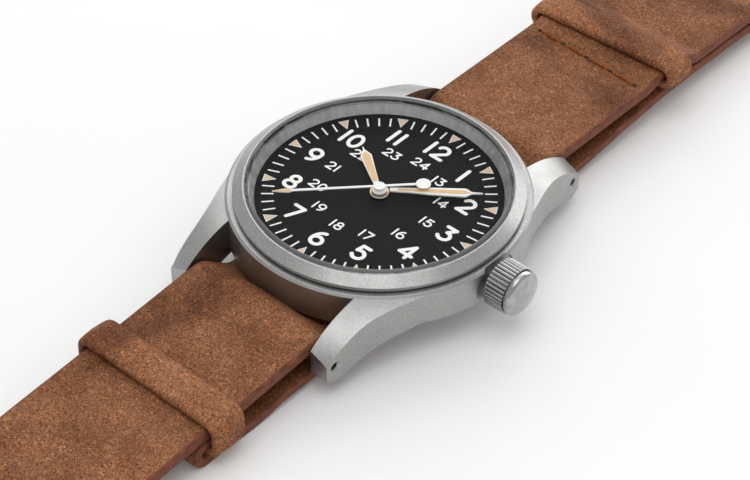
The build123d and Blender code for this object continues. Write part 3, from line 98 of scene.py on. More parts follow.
class Shader:
    """Small builder for a node material round one Principled shader."""

    def __init__(self, name, color, roughness=0.5, metallic=0.0):
        self.material = bpy.data.materials.new(name)
        self.material.use_nodes = True
        self.nodes = self.material.node_tree.nodes
        self.links = self.material.node_tree.links
        self.surface = self.nodes["Principled BSDF"]
        self.place = self.nodes.new("ShaderNodeTexCoord").outputs["Object"]
        self.set("Base Color", (*color, 1))
        self.set("Roughness", roughness)
        self.set("Metallic", metallic)

    def set(self, socket, value):
        """Fixed value of the surface."""
        self.surface.inputs[socket].default_value = value

    def feed(self, socket, output):
        """Value of the surface that comes from another node."""
        self.links.new(output, self.surface.inputs[socket])

    def noise(self, scale, detail=4.0, stretch=(1, 1, 1), distortion=0.0):
        """Noise with features of one over scale metres."""
        mapping = self.nodes.new("ShaderNodeMapping")
        mapping.inputs["Scale"].default_value = stretch
        self.links.new(self.place, mapping.inputs["Vector"])
        node = self.nodes.new("ShaderNodeTexNoise")
        node.inputs["Scale"].default_value = scale
        node.inputs["Detail"].default_value = detail
        node.inputs["Distortion"].default_value = distortion
        self.links.new(mapping.outputs["Vector"], node.inputs["Vector"])
        return node.outputs["Fac"]

    def cells(self, scale):
        """Distance to the nearest of many scattered points."""
        node = self.nodes.new("ShaderNodeTexVoronoi")
        node.inputs["Scale"].default_value = scale
        self.links.new(self.place, node.inputs["Vector"])
        return node.outputs["Distance"]

    def ramp(self, factor, stops):
        """Colour read off a row of places and colours."""
        node = self.nodes.new("ShaderNodeValToRGB")
        ramp = node.color_ramp
        while len(ramp.elements) < len(stops):
            ramp.elements.new(0.5)
        for element, (place, color) in zip(ramp.elements, stops):
            element.position = place
            element.color = (*color, 1)
        self.links.new(factor, node.inputs["Fac"])
        return node.outputs["Color"]

    def times(self, strength, first, second):
        """Product of two colours, at a strength from 0 to 1."""
        node = self.nodes.new("ShaderNodeMix")
        node.data_type = "RGBA"
        node.blend_type = "MULTIPLY"
        node.inputs["Factor"].default_value = strength
        for place, color in zip(mix_inputs, (first, second)):
            self.links.new(color, node.inputs[place])
        return node.outputs[mix_output]

    def span(self, factor, low, high):
        """Noise turned into a value between two ends."""
        node = self.nodes.new("ShaderNodeMapRange")
        node.inputs["From Min"].default_value = noise_low
        node.inputs["From Max"].default_value = noise_high
        node.inputs["To Min"].default_value = low
        node.inputs["To Max"].default_value = high
        self.links.new(factor, node.inputs["Value"])
        return node.outputs["Result"]

    def bump(self, height, strength, distance, under=None):
        """Small relief on the surface, over another relief where one is given."""
        node = self.nodes.new("ShaderNodeBump")
        node.inputs["Strength"].default_value = strength
        node.inputs["Distance"].default_value = distance
        self.links.new(height, node.inputs["Height"])
        if under is not None:
            self.links.new(under, node.inputs["Normal"])
        self.feed("Normal", node.outputs["Normal"])
        return node.outputs["Normal"]

    def soft_edge(self, radius):
        """Normal that rounds the edges by a small radius."""
        node = self.nodes.new("ShaderNodeBevel")
        node.samples = edge_samples
        node.inputs["Radius"].default_value = radius
        return node.outputs["Normal"]


def grey(value):
    """Neutral colour."""
    return (value, value, value)


def scaled(color, factor):
    """Colour made lighter or darker."""
    return tuple(part * factor for part in color)


def blasted_steel(name, tone=0.41, roughness=0.4, grain=5200, edge_round=0.1 * mm):
    """Matte bead-blasted steel with a fine even grain."""
    shader = Shader(name, (tone, tone, tone * 0.985), roughness, metallic=1.0)
    fine = shader.noise(scale=grain, detail=2.0)
    soft = shader.noise(scale=260, detail=3.0)
    light = (tone * 1.12, tone * 1.12, tone * 1.1)
    dark = (tone * 0.86, tone * 0.86, tone * 0.85)
    shader.feed("Base Color", shader.ramp(fine, ((noise_low, dark), (noise_high, light))))
    shader.feed("Roughness", shader.span(soft, low=roughness - 0.05, high=roughness + 0.06))
    shader.bump(fine, strength=0.35, distance=0.02 * mm, under=shader.soft_edge(edge_round))
    return shader.material


def brushed_steel(name, stretch, tone=0.6, roughness=0.28, scale=900, metallic=1.0):
    """Steel with fine brushing, drawn out along one direction."""
    shader = Shader(name, grey(tone), roughness, metallic)
    lines = shader.noise(scale, detail=3.0, stretch=stretch)
    dark, light = grey(tone * 0.85), (tone * 1.1, tone * 1.1, tone * 1.09)
    shader.feed("Base Color", shader.ramp(lines, ((0.35, dark), (0.65, light))))
    shader.feed("Roughness", shader.span(lines, low=roughness - 0.06, high=roughness + 0.1))
    shader.bump(lines, strength=0.2, distance=0.01 * mm)
    return shader.material


def plain(name, color, roughness, scale=1500, spread=0.08, metallic=0.0, lift=0.01 * mm):
    """Nearly even paint, rubber or plated metal with a slight tooth."""
    shader = Shader(name, color, roughness, metallic)
    tooth = shader.noise(scale, detail=3.0)
    dark = scaled(color, 1 - spread)
    light = tuple(min(1, part) for part in scaled(color, 1 + spread))
    smoothest, roughest = max(0.05, roughness - 0.06), min(1, roughness + 0.06)
    shader.feed("Base Color", shader.ramp(tooth, ((0.35, dark), (0.65, light))))
    shader.feed("Roughness", shader.span(tooth, smoothest, roughest))
    shader.bump(tooth, strength=0.2, distance=lift)
    return shader.material


def dial_black():
    """Matte black dial with a fine tooth."""
    shader = Shader("dial_black", (0.012, 0.0125, 0.012), roughness=0.6)
    tooth = shader.noise(scale=5200, detail=3.0)
    dark, light = (0.007, 0.0075, 0.007), (0.019, 0.02, 0.019)
    shader.feed("Base Color", shader.ramp(tooth, ((noise_low, dark), (noise_high, light))))
    shader.bump(tooth, strength=0.3, distance=0.02 * mm)
    shader.set("Specular IOR Level", 0.05)
    return shader.material


# Crystal: places are shares of its radius. Its bevelled rim carries a painted highlight line and a painted
# grey reflection ring

crystal_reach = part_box("crystal")[1][0]
crystal_flat_share = 0.969
crystal_step = 0.002
crystal_glint_line_start = crystal_flat_share - crystal_step
crystal_glint_line_end = crystal_flat_share + crystal_step
crystal_rim_start = crystal_glint_line_end + crystal_step
crystal_rim_deepest = 0.99
crystal_rim_end = 0.992
crystal_wall_start = 0.996
# Colour: near black where clear, a painted highlight line where the flat top meets the bevel, then painted
# grey reflection over the rim
crystal_painted_ring_stops = (
    (0.0, (0.02, 0.02, 0.02)),
    (crystal_glint_line_start - crystal_step, (0.02, 0.02, 0.02)),
    (crystal_glint_line_start, (0.3, 0.3, 0.3)),
    (crystal_glint_line_end, (0.3, 0.3, 0.3)),
    (crystal_rim_start, (0.15, 0.15, 0.15)),
    (crystal_rim_deepest, (0.1, 0.1, 0.1)),
)
# Opacity: the painted highlight line and the painted reflection ring are nearly or fully opaque, the rest
# of the glass nearly clear
crystal_cover_stops = (
    (0.0, (0.03, 0.03, 0.03)),
    (crystal_glint_line_start - crystal_step, (0.03, 0.03, 0.03)),
    (crystal_glint_line_start, (0.8, 0.8, 0.8)),
    (crystal_glint_line_end, (0.8, 0.8, 0.8)),
    (crystal_rim_start, (1.0, 1.0, 1.0)),
    (crystal_rim_end, (1.0, 1.0, 1.0)),
    (crystal_wall_start, (0.03, 0.03, 0.03)),
)
crystal_slant_stops = (
    (0.0, (1.0, 1.0, 1.0)),
    (0.3, (1.0, 1.0, 1.0)),
    (0.5, (0.1, 0.1, 0.1)),
    (1.0, (0.1, 0.1, 0.1)),
)


def crystal_share(shader):
    """Distance from the middle of the crystal, as a share of its radius."""
    flat = shader.nodes.new("ShaderNodeVectorMath")
    flat.operation = "MULTIPLY"
    flat.inputs[1].default_value = (1 / crystal_reach, 1 / crystal_reach, 0)
    shader.links.new(shader.place, flat.inputs[0])
    reach = shader.nodes.new("ShaderNodeVectorMath")
    reach.operation = "LENGTH"
    shader.links.new(flat.outputs["Vector"], reach.inputs[0])
    return reach.outputs["Value"]


def crystal_material():
    """Clear crystal with a painted highlight line and a painted grey reflection ring on its bevelled rim,
    faded out where it is seen at a slant.
    """
    shader = Shader("crystal_clear", grey(0.02), roughness=0.25)
    shader.set("IOR", 1.45)
    shader.set("Specular IOR Level", 0.3)
    shader.material.surface_render_method = "BLENDED"
    share = crystal_share(shader)
    shader.feed("Base Color", shader.ramp(share, crystal_painted_ring_stops))
    cover = shader.ramp(share, crystal_cover_stops)
    slant = shader.nodes.new("ShaderNodeLayerWeight")
    seen = shader.ramp(slant.outputs["Facing"], crystal_slant_stops)
    shader.feed("Alpha", shader.times(1.0, cover, seen))
    return shader.material


# Leather

leather_deep = (0.155, 0.061, 0.028)
leather_body = (0.255, 0.11, 0.053)
leather_pale = (0.33, 0.15, 0.076)
blotch_stops = ((0.36, (0.8, 0.75, 0.71)), (0.56, grey(1.0)))
ridge_stops = (
    (0.38, (0.62, 0.58, 0.54)),
    (0.455, (0.66, 0.62, 0.58)),
    (0.5, (2.3, 2.26, 2.16)),
    (0.545, (0.6, 0.56, 0.53)),
    (0.64, (1.0, 0.98, 0.95)),
)
fleck_stops = ((0.12, grey(1.2)), (0.5, (0.9, 0.89, 0.88)), (0.75, (0.6, 0.56, 0.54)))
crease_stops = (
    (0.42, (1.0, 0.99, 0.98)),
    (0.49, (0.6, 0.56, 0.53)),
    (0.53, (1.0, 0.99, 0.98)),
    (0.6, (1.24, 1.23, 1.2)),
)


def leather(name, worn=1.0, tone=1.0):
    """Pull-up leather: clouded brown with blotches, light ridges, fine creases and dark flecks."""
    shader = Shader(name, (0.2, 0.085, 0.045), roughness=0.6)
    cloud = shader.noise(scale=62, detail=5.0, distortion=0.8)
    patch = shader.noise(scale=260, detail=6.0, distortion=0.4)
    grain = shader.noise(scale=3300, detail=1.0, distortion=0.9)
    crease = shader.noise(scale=1800, detail=1.5, distortion=1.2)
    fleck = shader.cells(scale=3800)
    deep, body, pale = (scaled(brown, tone) for brown in (leather_deep, leather_body, leather_pale))
    color = shader.ramp(cloud, ((0.34, deep), (0.47, body), (0.68, pale)))
    layers = (
        (0.75 * worn, patch, blotch_stops),
        (0.9, grain, ridge_stops),
        (0.9, crease, crease_stops),
        (0.5, fleck, fleck_stops),
    )
    for strength, pattern, stops in layers:
        color = shader.times(strength, color, shader.ramp(pattern, stops))
    shader.feed("Base Color", color)
    shader.feed("Roughness", shader.span(patch, low=0.7, high=0.6))
    rough = shader.bump(grain, strength=0.45, distance=0.08 * mm)
    shader.bump(crease, strength=0.5, distance=0.16 * mm, under=rough)
    shader.set("Specular IOR Level", 0.12)
    return shader.material


def edge_paint(name):
    """Painted strap edge, a smoother red brown."""
    shader = Shader(name, (0.12, 0.032, 0.018), roughness=0.6)
    wave = shader.noise(scale=700, detail=4.0, stretch=(1, 1, 3))
    dark, light = (0.11, 0.033, 0.018), (0.23, 0.075, 0.04)
    shader.feed("Base Color", shader.ramp(wave, ((0.32, dark), (0.68, light))))
    shader.feed("Roughness", shader.span(wave, low=0.5, high=0.68))
    shader.bump(wave, strength=0.3, distance=0.06 * mm)
    shader.set("Specular IOR Level", 0.2)
    return shader.material


def thread_material():
    """Twisted rust-coloured thread."""
    shader = Shader("thread_rust", (0.26, 0.08, 0.022), roughness=0.85)
    twist = shader.noise(scale=4200, detail=2.0, stretch=(2.5, 1, 1))
    dark, light = (0.12, 0.034, 0.012), (0.36, 0.115, 0.03)
    shader.feed("Base Color", shader.ramp(twist, ((0.38, dark), (0.62, light))))
    shader.set("Specular IOR Level", 0.1)
    shader.bump(twist, strength=0.5, distance=0.06 * mm)
    return shader.material


steel_light = (0.66, 0.66, 0.65)
steel_blue = (0.10, 0.12, 0.2)
brass_yellow = (0.66, 0.47, 0.2)
ruby_red = (0.5, 0.02, 0.08)
print_tone = (0.94, 0.94, 0.92)
hand_tone = (0.92, 0.92, 0.9)
lume_sand = (0.78, 0.52, 0.29)
marker_sand = (0.74, 0.57, 0.38)
lume_grain = {"scale": 6000, "spread": 0.1, "lift": 0.03 * mm}
paint_grain = {"scale": 3000, "spread": 0.03}

materials = {
    "case": blasted_steel("steel_blasted"),
    "bezel": blasted_steel("steel_bezel", tone=0.43, roughness=0.36, grain=4200, edge_round=0.04 * mm),
    "rehaut": brushed_steel(
        "steel_rehaut", (1, 1, 0.15), tone=0.5, roughness=0.34, scale=1200, metallic=0.45
    ),
    "crown": brushed_steel("steel_crown", (0.3, 1, 1), tone=0.42, roughness=0.18),
    "polished": plain("steel_polished", steel_light, roughness=0.22, scale=800, spread=0.05, metallic=1.0),
    "movement": brushed_steel("steel_movement", (1, 0.2, 1), tone=0.62, roughness=0.3),
    "brass": plain("brass_wheel", brass_yellow, roughness=0.3, scale=900, metallic=1.0),
    "blued": plain("steel_blued", steel_blue, roughness=0.3, scale=900, metallic=1.0),
    "ruby": plain("ruby", ruby_red, roughness=0.12, scale=900, spread=0.1),
    "rubber": plain("rubber_black", grey(0.015), roughness=0.7),
    "nylon": plain("nylon_ring", (0.7, 0.7, 0.67), roughness=0.55),
    "clear_ring": plain("gasket_clear", (0.4, 0.4, 0.39), roughness=0.4),
    "dial": dial_black(),
    "print": plain("print_white", print_tone, roughness=0.6, **paint_grain),
    "white": plain("hand_white", hand_tone, roughness=0.45, **paint_grain),
    "lume": plain("lume_sand", lume_sand, roughness=0.75, **lume_grain),
    "marker": plain("marker_sand", marker_sand, roughness=0.75, **lume_grain),
    "crystal": crystal_material(),
    "leather": leather("leather_tan"),
    # Keepers: the strap leather with fewer blotches, made lighter as painted light on the raised keepers
    "lit_keeper_leather": leather("leather_keeper_lit", worn=0.7, tone=1.15),
    "edge": edge_paint("edge_brown"),
    "thread": thread_material(),
    # Painted shade for the stitch holes and the groove under the stitches
    "hole_shade": plain("stitch_hole_shade", (0.02, 0.008, 0.004), roughness=0.9),
}


def dress(look, *nodes):
    """Give carried nodes one of the materials."""
    for node in nodes:
        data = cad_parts[node].data
        data.materials.clear()
        data.materials.append(materials[look])


dress("case", "case_middle", "case_back", "crown_tube", "buckle_frame", "buckle_tongue")
dress("bezel", "bezel")
dress("rehaut", "rehaut")
dress("crystal", "crystal")
dress("clear_ring", "crystal_gasket")
dress("crown", "crown")
dress("dial", "dial")
dress("white", "hour_hand", "minute_hand", "seconds_hand")
dress("rubber", "case_back_gasket", "crown_gasket")
dress("nylon", "movement_ring")
dress("polished", "spring_bar_tubes", "spring_bar_tip_twelve", "spring_bar_tip_six")
dress("brass", "barrel_drum", "center_wheel", "third_wheel", "fourth_wheel", "minute_wheel", "hour_wheel")
dress("brass", "balance_wheel", "cannon_pinion")
dress("ruby", "jewels")
dress("blued", "mainspring", "hairspring")
dress("movement", "main_plate", "barrel_bridge", "train_bridge", "pallet_bridge", "balance_cock")
dress("movement", "case_clamps", "setting_lever", "setting_jumper", "yoke", "click", "click_spring")
dress("movement", "pallet_fork")
dress("polished", "movement_screws", "barrel_arbor", "ratchet_wheel", "ratchet_screw", "crown_wheel")
dress("polished", "winding_pinion", "clutch_wheel", "stem", "escape_wheel", "setting_wheel")


# Mesh helpers, in millimetres

merge_distance = 0.001
least_turn = 1e-4
shortest_run = 1e-6
cutter_bottom = -20
cutter_top = 30
section_across = 22
section_corner_steps = 5


def polar(reach, angle):
    """Point at a distance and an angle in radians."""
    return (reach * cos(angle), reach * sin(angle))


def circle_angles(count):
    """Evenly spaced angles round a full turn."""
    return [2 * pi * step / count for step in range(count)]


def side_faces(rows, count, closed=False, base=0):
    """Faces between rows of points, where each row is a closed ring of its own."""
    faces = []
    for row in range(rows if closed else rows - 1):
        here, there = base + row * count, base + (row + 1) % rows * count
        for side in range(count):
            following = (side + 1) % count
            faces.append((here + side, here + following, there + following, there + side))
    return faces


def heading(path, index):
    """Direction of an open path at one of its points."""
    before = path[max(0, index - 1)]
    after = path[min(len(path) - 1, index + 1)]
    return (after - before).normalized()


def add_piece(name, points, faces, looks, body, marks=None, smooth=True):
    """Mesh piece in millimetres that rides on a body."""
    data = bpy.data.meshes.new(name)
    data.from_pydata([Vector(point) * mm for point in points], [], faces)
    for look in looks:
        data.materials.append(materials[look])
    if marks:
        data.polygons.foreach_set("material_index", marks)
    if smooth:
        data.polygons.foreach_set("use_smooth", [True] * len(data.polygons))
    data.update()
    item = bpy.data.objects.new(name, data)
    bpy.context.collection.objects.link(item)
    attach(item, body)
    return item


def clean_normals(item):
    """Merge doubles and turn all faces outward."""
    work = bmesh.new()
    work.from_mesh(item.data)
    bmesh.ops.remove_doubles(work, verts=work.verts, dist=merge_distance * mm)
    bmesh.ops.recalc_face_normals(work, faces=work.faces)
    work.to_mesh(item.data)
    work.free()
    item.data.update()


def turned(spoke, angle):
    """Flat vector turned by an angle."""
    return Vector((
        spoke.x * cos(angle) - spoke.y * sin(angle),
        spoke.x * sin(angle) + spoke.y * cos(angle),
    ))


def rounded_path(corners, bends, step):
    """Evenly sampled line through corners, each rounded to its own radius."""
    corners = [Vector(corner) for corner in corners]
    line = [corners[0]]
    for before, here, after, bend in zip(corners, corners[1:], corners[2:], bends):
        entering = (here - before).normalized()
        leaving = (after - here).normalized()
        turn = abs(entering.angle_signed(leaving))
        if turn < least_turn:
            continue
        sense = 1 if entering.cross(leaving) > 0 else -1
        reach = bend * tan(turn / 2)
        first = here - entering * reach
        middle = first + Vector((-entering.y, entering.x)) * sense * bend
        count = max(2, int(turn * bend / step))
        for part in range(count + 1):
            line.append(middle + turned(first - middle, sense * turn * part / count))
    line.append(corners[-1])
    return resample(line, step)


def resample(line, step):
    """Points at an even step along a line."""
    lengths = [0.0]
    for first, second in zip(line, line[1:]):
        lengths.append(lengths[-1] + (second - first).length)
    total = lengths[-1]
    count = max(2, round(total / step))
    result = []
    place = 0
    for index in range(count + 1):
        want = total * index / count
        while place < len(lengths) - 2 and lengths[place + 1] < want:
            place += 1
        span = lengths[place + 1] - lengths[place] or 1
        result.append(line[place].lerp(line[place + 1], (want - lengths[place]) / span))
    return result


def band_section(width, thickness, corner, across=section_across):
    """Outline of a strap with softly rounded edges, and the face marks: 0 for skin, 1 for edge."""
    half, rise = width / 2 - corner, thickness / 2 - corner
    outline, marks = [], []
    for sense in (1, -1):
        for index in range(across):
            outline.append((sense * half * (2 * index / (across - 1) - 1), sense * (rise + corner)))
            marks.append(0)
        for start, height in ((pi / 2, rise), (0, -rise)):
            for index in range(1, section_corner_steps):
                x, z = polar(corner, start - pi / 2 * index / section_corner_steps)
                outline.append((sense * (half + x), sense * (height + z)))
                marks.append(1)
    return outline, marks


def sweep_band(name, path, section, shape=None):
    """Leather band with painted edges, swept along a line in the upright plane from six to twelve."""
    outline, marks = section
    points = []
    count = len(outline)
    for index, here in enumerate(path):
        along = heading(path, index)
        normal = Vector((-along.y, along.x))
        for x, rise in outline:
            offset_x, offset_rise = shape(x, rise, here) if shape else (x, rise)
            spot = here + normal * offset_rise
            points.append((offset_x, spot.x, spot.y))
    last = (len(path) - 1) * count
    faces = side_faces(len(path), count)
    faces += [tuple(range(count)), tuple(reversed(range(last, last + count)))]
    row_marks = [max(marks[side], marks[(side + 1) % count]) for side in range(count)]
    face_marks = row_marks * (len(path) - 1) + [1, 1]
    item = add_piece(name, points, faces, ("leather", "edge"), "watch", face_marks)
    clean_normals(item)
    return item


def cut_through(item, outlines):
    """Cut upright openings, given as plan outlines in millimetres, through a piece."""
    points, faces = [], []
    for outline in outlines:
        base, count = len(points), len(outline)
        points += [Vector((x, y, z)) * mm for z in (cutter_bottom, cutter_top) for x, y in outline]
        faces.append(tuple(reversed(range(base, base + count))))
        faces.append(tuple(range(base + count, base + 2 * count)))
        faces += side_faces(2, count, base=base)
    shape = bpy.data.meshes.new("cutter")
    shape.from_pydata(points, [], faces)
    cutter = bpy.data.objects.new("cutter", shape)
    bpy.context.scene.collection.objects.link(cutter)
    holes = item.modifiers.new("holes", "BOOLEAN")
    holes.operation = "DIFFERENCE"
    holes.solver = "EXACT"
    holes.object = cutter
    graph = bpy.context.evaluated_depsgraph_get()
    whole = bpy.data.meshes.new_from_object(item.evaluated_get(graph))
    item.modifiers.clear()
    item.data = whole
    bpy.data.objects.remove(cutter)


# Strap, repeated from the solids' sizes in millimetres

strap_width = 19.5
long_thickness = 1.5
short_thickness = 1.3
keeper_thickness = 1.0
long_corner = 0.32
short_corner = 0.28
path_step = 0.5
bar_place = 21.6
bar_height = 4.25
bar_radius = 0.75
bar_gap = 0.02
layer_gap = 0.1
wrap_radius = bar_radius + long_thickness / 2 + bar_gap
crest = bar_height + wrap_radius
case_bottom = 2.85
under_height = case_bottom - long_thickness / 2
dive_degrees = 38
six_slope_degrees = 3.2
dive = radians(dive_degrees)
six_slope = radians(six_slope_degrees)
table_height = long_thickness / 2
tail_length = 165.0
tail_flat_share = 0.533
tail_route_shares = ((0.3455, 0.572), (0.303, 0.676), (0.2455, 0.795), (0.206, 0.823))
tail_taper = 14
tail_tip_half = 2.5
tail_curve = 0.75
hole_radius = 1
hole_count = 7
hole_pitch = 7
first_hole = -142
hole_sides = 24

# Stretch at twelve: over the bar, up onto the keeper's floor and down to the buckle

buckle_place = 112.0
seam_place = 103.0
buckle_wrap = 1.37
buckle_height = table_height + buckle_wrap
fold_height = buckle_height + buckle_wrap
hump_foot = 40.6
hump_start = 42.6
hump_end = 48.2
keeper_twelve_floor = 5.5
hump_height = keeper_twelve_floor + table_height
twelve_route_shares = ((0.4527, 0.867), (0.5598, 0.841))
flat_start = 80.0
flat_end = 94.0
flat_height = keeper_thickness + layer_gap + table_height
fold_start = 99.0
loop_end = 98.5
loop_step = 0.4
turn_steps = 24
slot_half = 1.3
slot_start = 108.5
slot_end = 118

# Radii of the bends from the tip to the buckle

strap_bend = 3.5
gentle_bend = 6
rise_bend = 10
wide_bend = 14
tail_bends = [wide_bend] * 3 + [gentle_bend] * 2
under_bends = [wrap_radius, strap_bend, strap_bend, wrap_radius]
hump_bends = [strap_bend / 2] * 3
buckle_bends = [strap_bend, gentle_bend, rise_bend, strap_bend, strap_bend]

# Slight crown of the strap where it comes out beside the case

crown_place = 20.6
crown_reach = 6.5
strap_crown = 0.45

# Short strap: folded back under the loop at six, then along below the long strap

fold_turn = 39.6
fold_end = 35.0
short_low = 0.7
fold_radius = 1.175
short_flat_end = 31.0
short_end = 68.0
short_six_shares = ((0.68, 2.1), (0.55, 2.1), (0.43, 1.0))
short_twelve_shares = (
    (0.235, 1.0),
    (0.353, 2.2),
    (0.53, 4.2),
    (0.647, 5.1),
    (0.735, 5.2),
    (0.91, 4.75),
    (1.0, 3.15),
)


def bar_corner(slope):
    """Corner of the centre line where it bends over a spring bar and dives under the case."""
    middle = (pi + dive - slope) / 2
    reach = wrap_radius / cos((dive + slope) / 2)
    return (bar_place + reach * cos(middle), bar_height + reach * sin(middle))


def dive_end(corner):
    """Corner where the dive meets the level stretch under the case."""
    return (corner[0] - (corner[1] - under_height) / tan(dive), under_height)


def long_strap_path():
    """Centre line of the long strap, from its tip to the seam at the buckle."""
    six, twelve = bar_corner(six_slope), bar_corner(0)
    corners = [(-tail_length, table_height), (-tail_length * tail_flat_share, table_height)]
    corners += [(-tail_length * along, crest * up) for along, up in tail_route_shares]
    corners += [(-six[0], six[1]), (-dive_end(six)[0], under_height), dive_end(twelve), twelve]
    corners += [(hump_foot, crest), (hump_start, hump_height), (hump_end, hump_height)]
    corners += [(buckle_place * along, crest * up) for along, up in twelve_route_shares]
    corners += [(flat_start, flat_height), (flat_end, flat_height)]
    corners += [(fold_start, fold_height), (seam_place, fold_height)]
    return rounded_path(corners, tail_bends + under_bends + hump_bends + buckle_bends, path_step)


def half_turn(centre, radius, start, end):
    """Points of an arc, from one angle to another."""
    angles = [start + (end - start) * index / turn_steps for index in range(turn_steps + 1)]
    return [Vector(centre) + Vector(polar(radius, angle)) for angle in angles]


def buckle_loop_path():
    """Centre line of the leather loop that goes round the buckle bar."""
    line = [Vector((seam_place, fold_height))]
    line += half_turn((buckle_place, buckle_height), buckle_wrap, pi / 2, -pi / 2)
    line.append(Vector((loop_end, table_height)))
    return resample(line, loop_step)


def short_strap_path():
    """Centre line of the short strap, from its folded end at six."""
    line = [Vector((-fold_end, short_low + 2 * fold_radius))]
    line += half_turn((-fold_turn, short_low + fold_radius), fold_radius, pi / 2, 3 * pi / 2)
    middle = short_thickness / 2
    corners = [(-fold_turn, short_low), (-short_flat_end, short_low)]
    corners += [(-fold_turn * along, middle * up) for along, up in short_six_shares]
    corners += [(short_end * along, middle * up) for along, up in short_twelve_shares]
    rest = rounded_path(corners, [strap_bend] * (len(corners) - 2), path_step)
    return resample(line + rest[1:], path_step)


def tail_half(y):
    """Half width of the long strap, drawn in to a rounded point at its tip."""
    left = y + tail_length
    if left > tail_taper:
        return strap_width / 2
    share = max(left, 0.0) / tail_taper
    return tail_tip_half + (strap_width / 2 - tail_tip_half) * share ** tail_curve


def long_shape(x, rise, here):
    """Tail outline, and a slight crown where the strap comes out beside the case."""
    half = tail_half(here.x) / (strap_width / 2)
    near = max(0.0, 1 - abs(abs(here.x) - crown_place) / crown_reach)
    lift = strap_crown * near * near * (3 - 2 * near) * (1 - (2 * x / strap_width) ** 2)
    return x * half, rise + (lift if here.y > bar_height else 0.0)


def make_long_strap():
    """Upper leather layer with its row of holes."""
    section = band_section(strap_width, long_thickness, long_corner)
    strap = sweep_band("long_strap_leather", long_strap_path(), section, long_shape)
    rim = [polar(hole_radius, angle) for angle in circle_angles(hole_sides)]
    places = [first_hole + hole_pitch * index for index in range(hole_count)]
    cut_through(strap, [[(x, y + place) for x, y in rim] for place in places])
    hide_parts("long_strap")


def make_buckle_loop():
    """Leather loop round the buckle bar, slotted for the tongue."""
    section = band_section(strap_width, long_thickness, long_corner)
    loop = sweep_band("buckle_loop_leather", buckle_loop_path(), section)
    near_side = [(-slot_half, slot_start), (slot_half, slot_start)]
    far_side = [(slot_half, slot_end), (-slot_half, slot_end)]
    cut_through(loop, [near_side + far_side])
    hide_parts("buckle_loop")


def make_short_strap():
    """Lower leather layer."""
    section = band_section(strap_width, short_thickness, short_corner)
    under = sweep_band("short_strap_leather", short_strap_path(), section)
    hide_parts("short_strap")


make_long_strap()
make_buckle_loop()
make_short_strap()


# Leather keepers, in millimetres

keeper_opening_half = 10.2
keeper_bend = 1.3
keeper_bend_steps = 8
keeper_step = 0.4
keeper_corner = 0.44
keeper_across = 14
keeper_swell = 0.2


def loop_path(half, floor, ceiling):
    """Closed rounded rectangle in the plane across the strap."""
    line = []
    reach, rise = half - keeper_bend, (ceiling - floor) / 2 - keeper_bend
    middle = (floor + ceiling) / 2
    for start, x, z in ((90, reach, rise), (0, reach, -rise), (-90, -reach, -rise), (180, -reach, rise)):
        for index in range(keeper_bend_steps + 1):
            angle = radians(start - 90 * index / keeper_bend_steps)
            line.append(Vector((x, middle + z)) + Vector(polar(keeper_bend, angle)))
    line.append(line[0].copy())
    return resample(line, keeper_step)


def make_keeper(name, node, body, start, width, floor, ceiling, slant=0.0):
    """Leather loop with rounded edges round the strap, drawn aslant at its left end."""
    half = keeper_opening_half + keeper_thickness / 2
    ring = loop_path(half, floor - keeper_thickness / 2, ceiling + keeper_thickness / 2)[:-1]
    section = band_section(width, keeper_thickness, keeper_corner, keeper_across)[0]
    points = []
    for index, here in enumerate(ring):
        along = (ring[(index + 1) % len(ring)] - ring[index - 1]).normalized()
        outward = Vector((-along.y, along.x))
        for y, rise in section:
            swell = keeper_swell * (1 - (2 * y / width) ** 2) if rise > 0 else 0.0
            spot = here + outward * (rise + swell)
            drift = slant * (half - spot.x) / (2 * half)
            points.append((spot.x, start + width / 2 + y + drift, spot.y))
    faces = side_faces(len(ring), len(section), closed=True)
    item = add_piece(name, points, faces, ("lit_keeper_leather",), body)
    clean_normals(item)
    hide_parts(node)


twelve = {"start": 43.2, "width": 4.5, "floor": keeper_twelve_floor, "ceiling": 7.15, "slant": -1.1}
six = {"start": -39.4, "width": 4.8, "floor": 2.375, "ceiling": 5.64}
loose = {"start": 83.5, "width": 5.0, "floor": 1.025, "ceiling": 2.75}
sewn = {"start": 100.5, "width": 5.0, "floor": 2.52, "ceiling": 4.39}
make_keeper("keeper_twelve_leather", "keeper_twelve", "watch", **twelve)
make_keeper("keeper_six_leather", "keeper_six", "watch", **six)
make_keeper("free_keeper_leather", "free_keeper", "free_keeper", **loose)
make_keeper("buckle_keeper_leather", "buckle_keeper", "watch", **sewn)


# Printing on the dial, in millimetres

print_lift = 0.012
stroke_rise = 0.0004
stroke_end_sides = 16
hour_reach = 10.65
hour_size = 2.75
hour_weight = 0.5
inner_reach = 7.5
inner_size = 1.45
inner_weight = 0.24
inner_spread = 1.08
mark_start = 12.65
mark_end = 14.15
mark_half = 0.11
triangle_tip = 12.85
triangle_base = 14.2
triangle_half = 0.58
triangle_border = 0.09
triangle_tip_growth = 2.2
triangle_side_growth = 1.3
triangle_lift = 0.03
hours_round = 12
minutes_round = 60

# Digits: strokes in shares of the height, with the middle of each digit at one place

digit_middle = (0.31, 0.5)
narrow_advance = 0.42
wide_advance = 0.82


def bow(centre, radii, start, end, count=18):
    """Arc of a digit, from one angle to another."""
    angles = [radians(start + (end - start) * index / count) for index in range(count + 1)]
    return [(centre[0] + radii[0] * cos(angle), centre[1] + radii[1] * sin(angle)) for angle in angles]


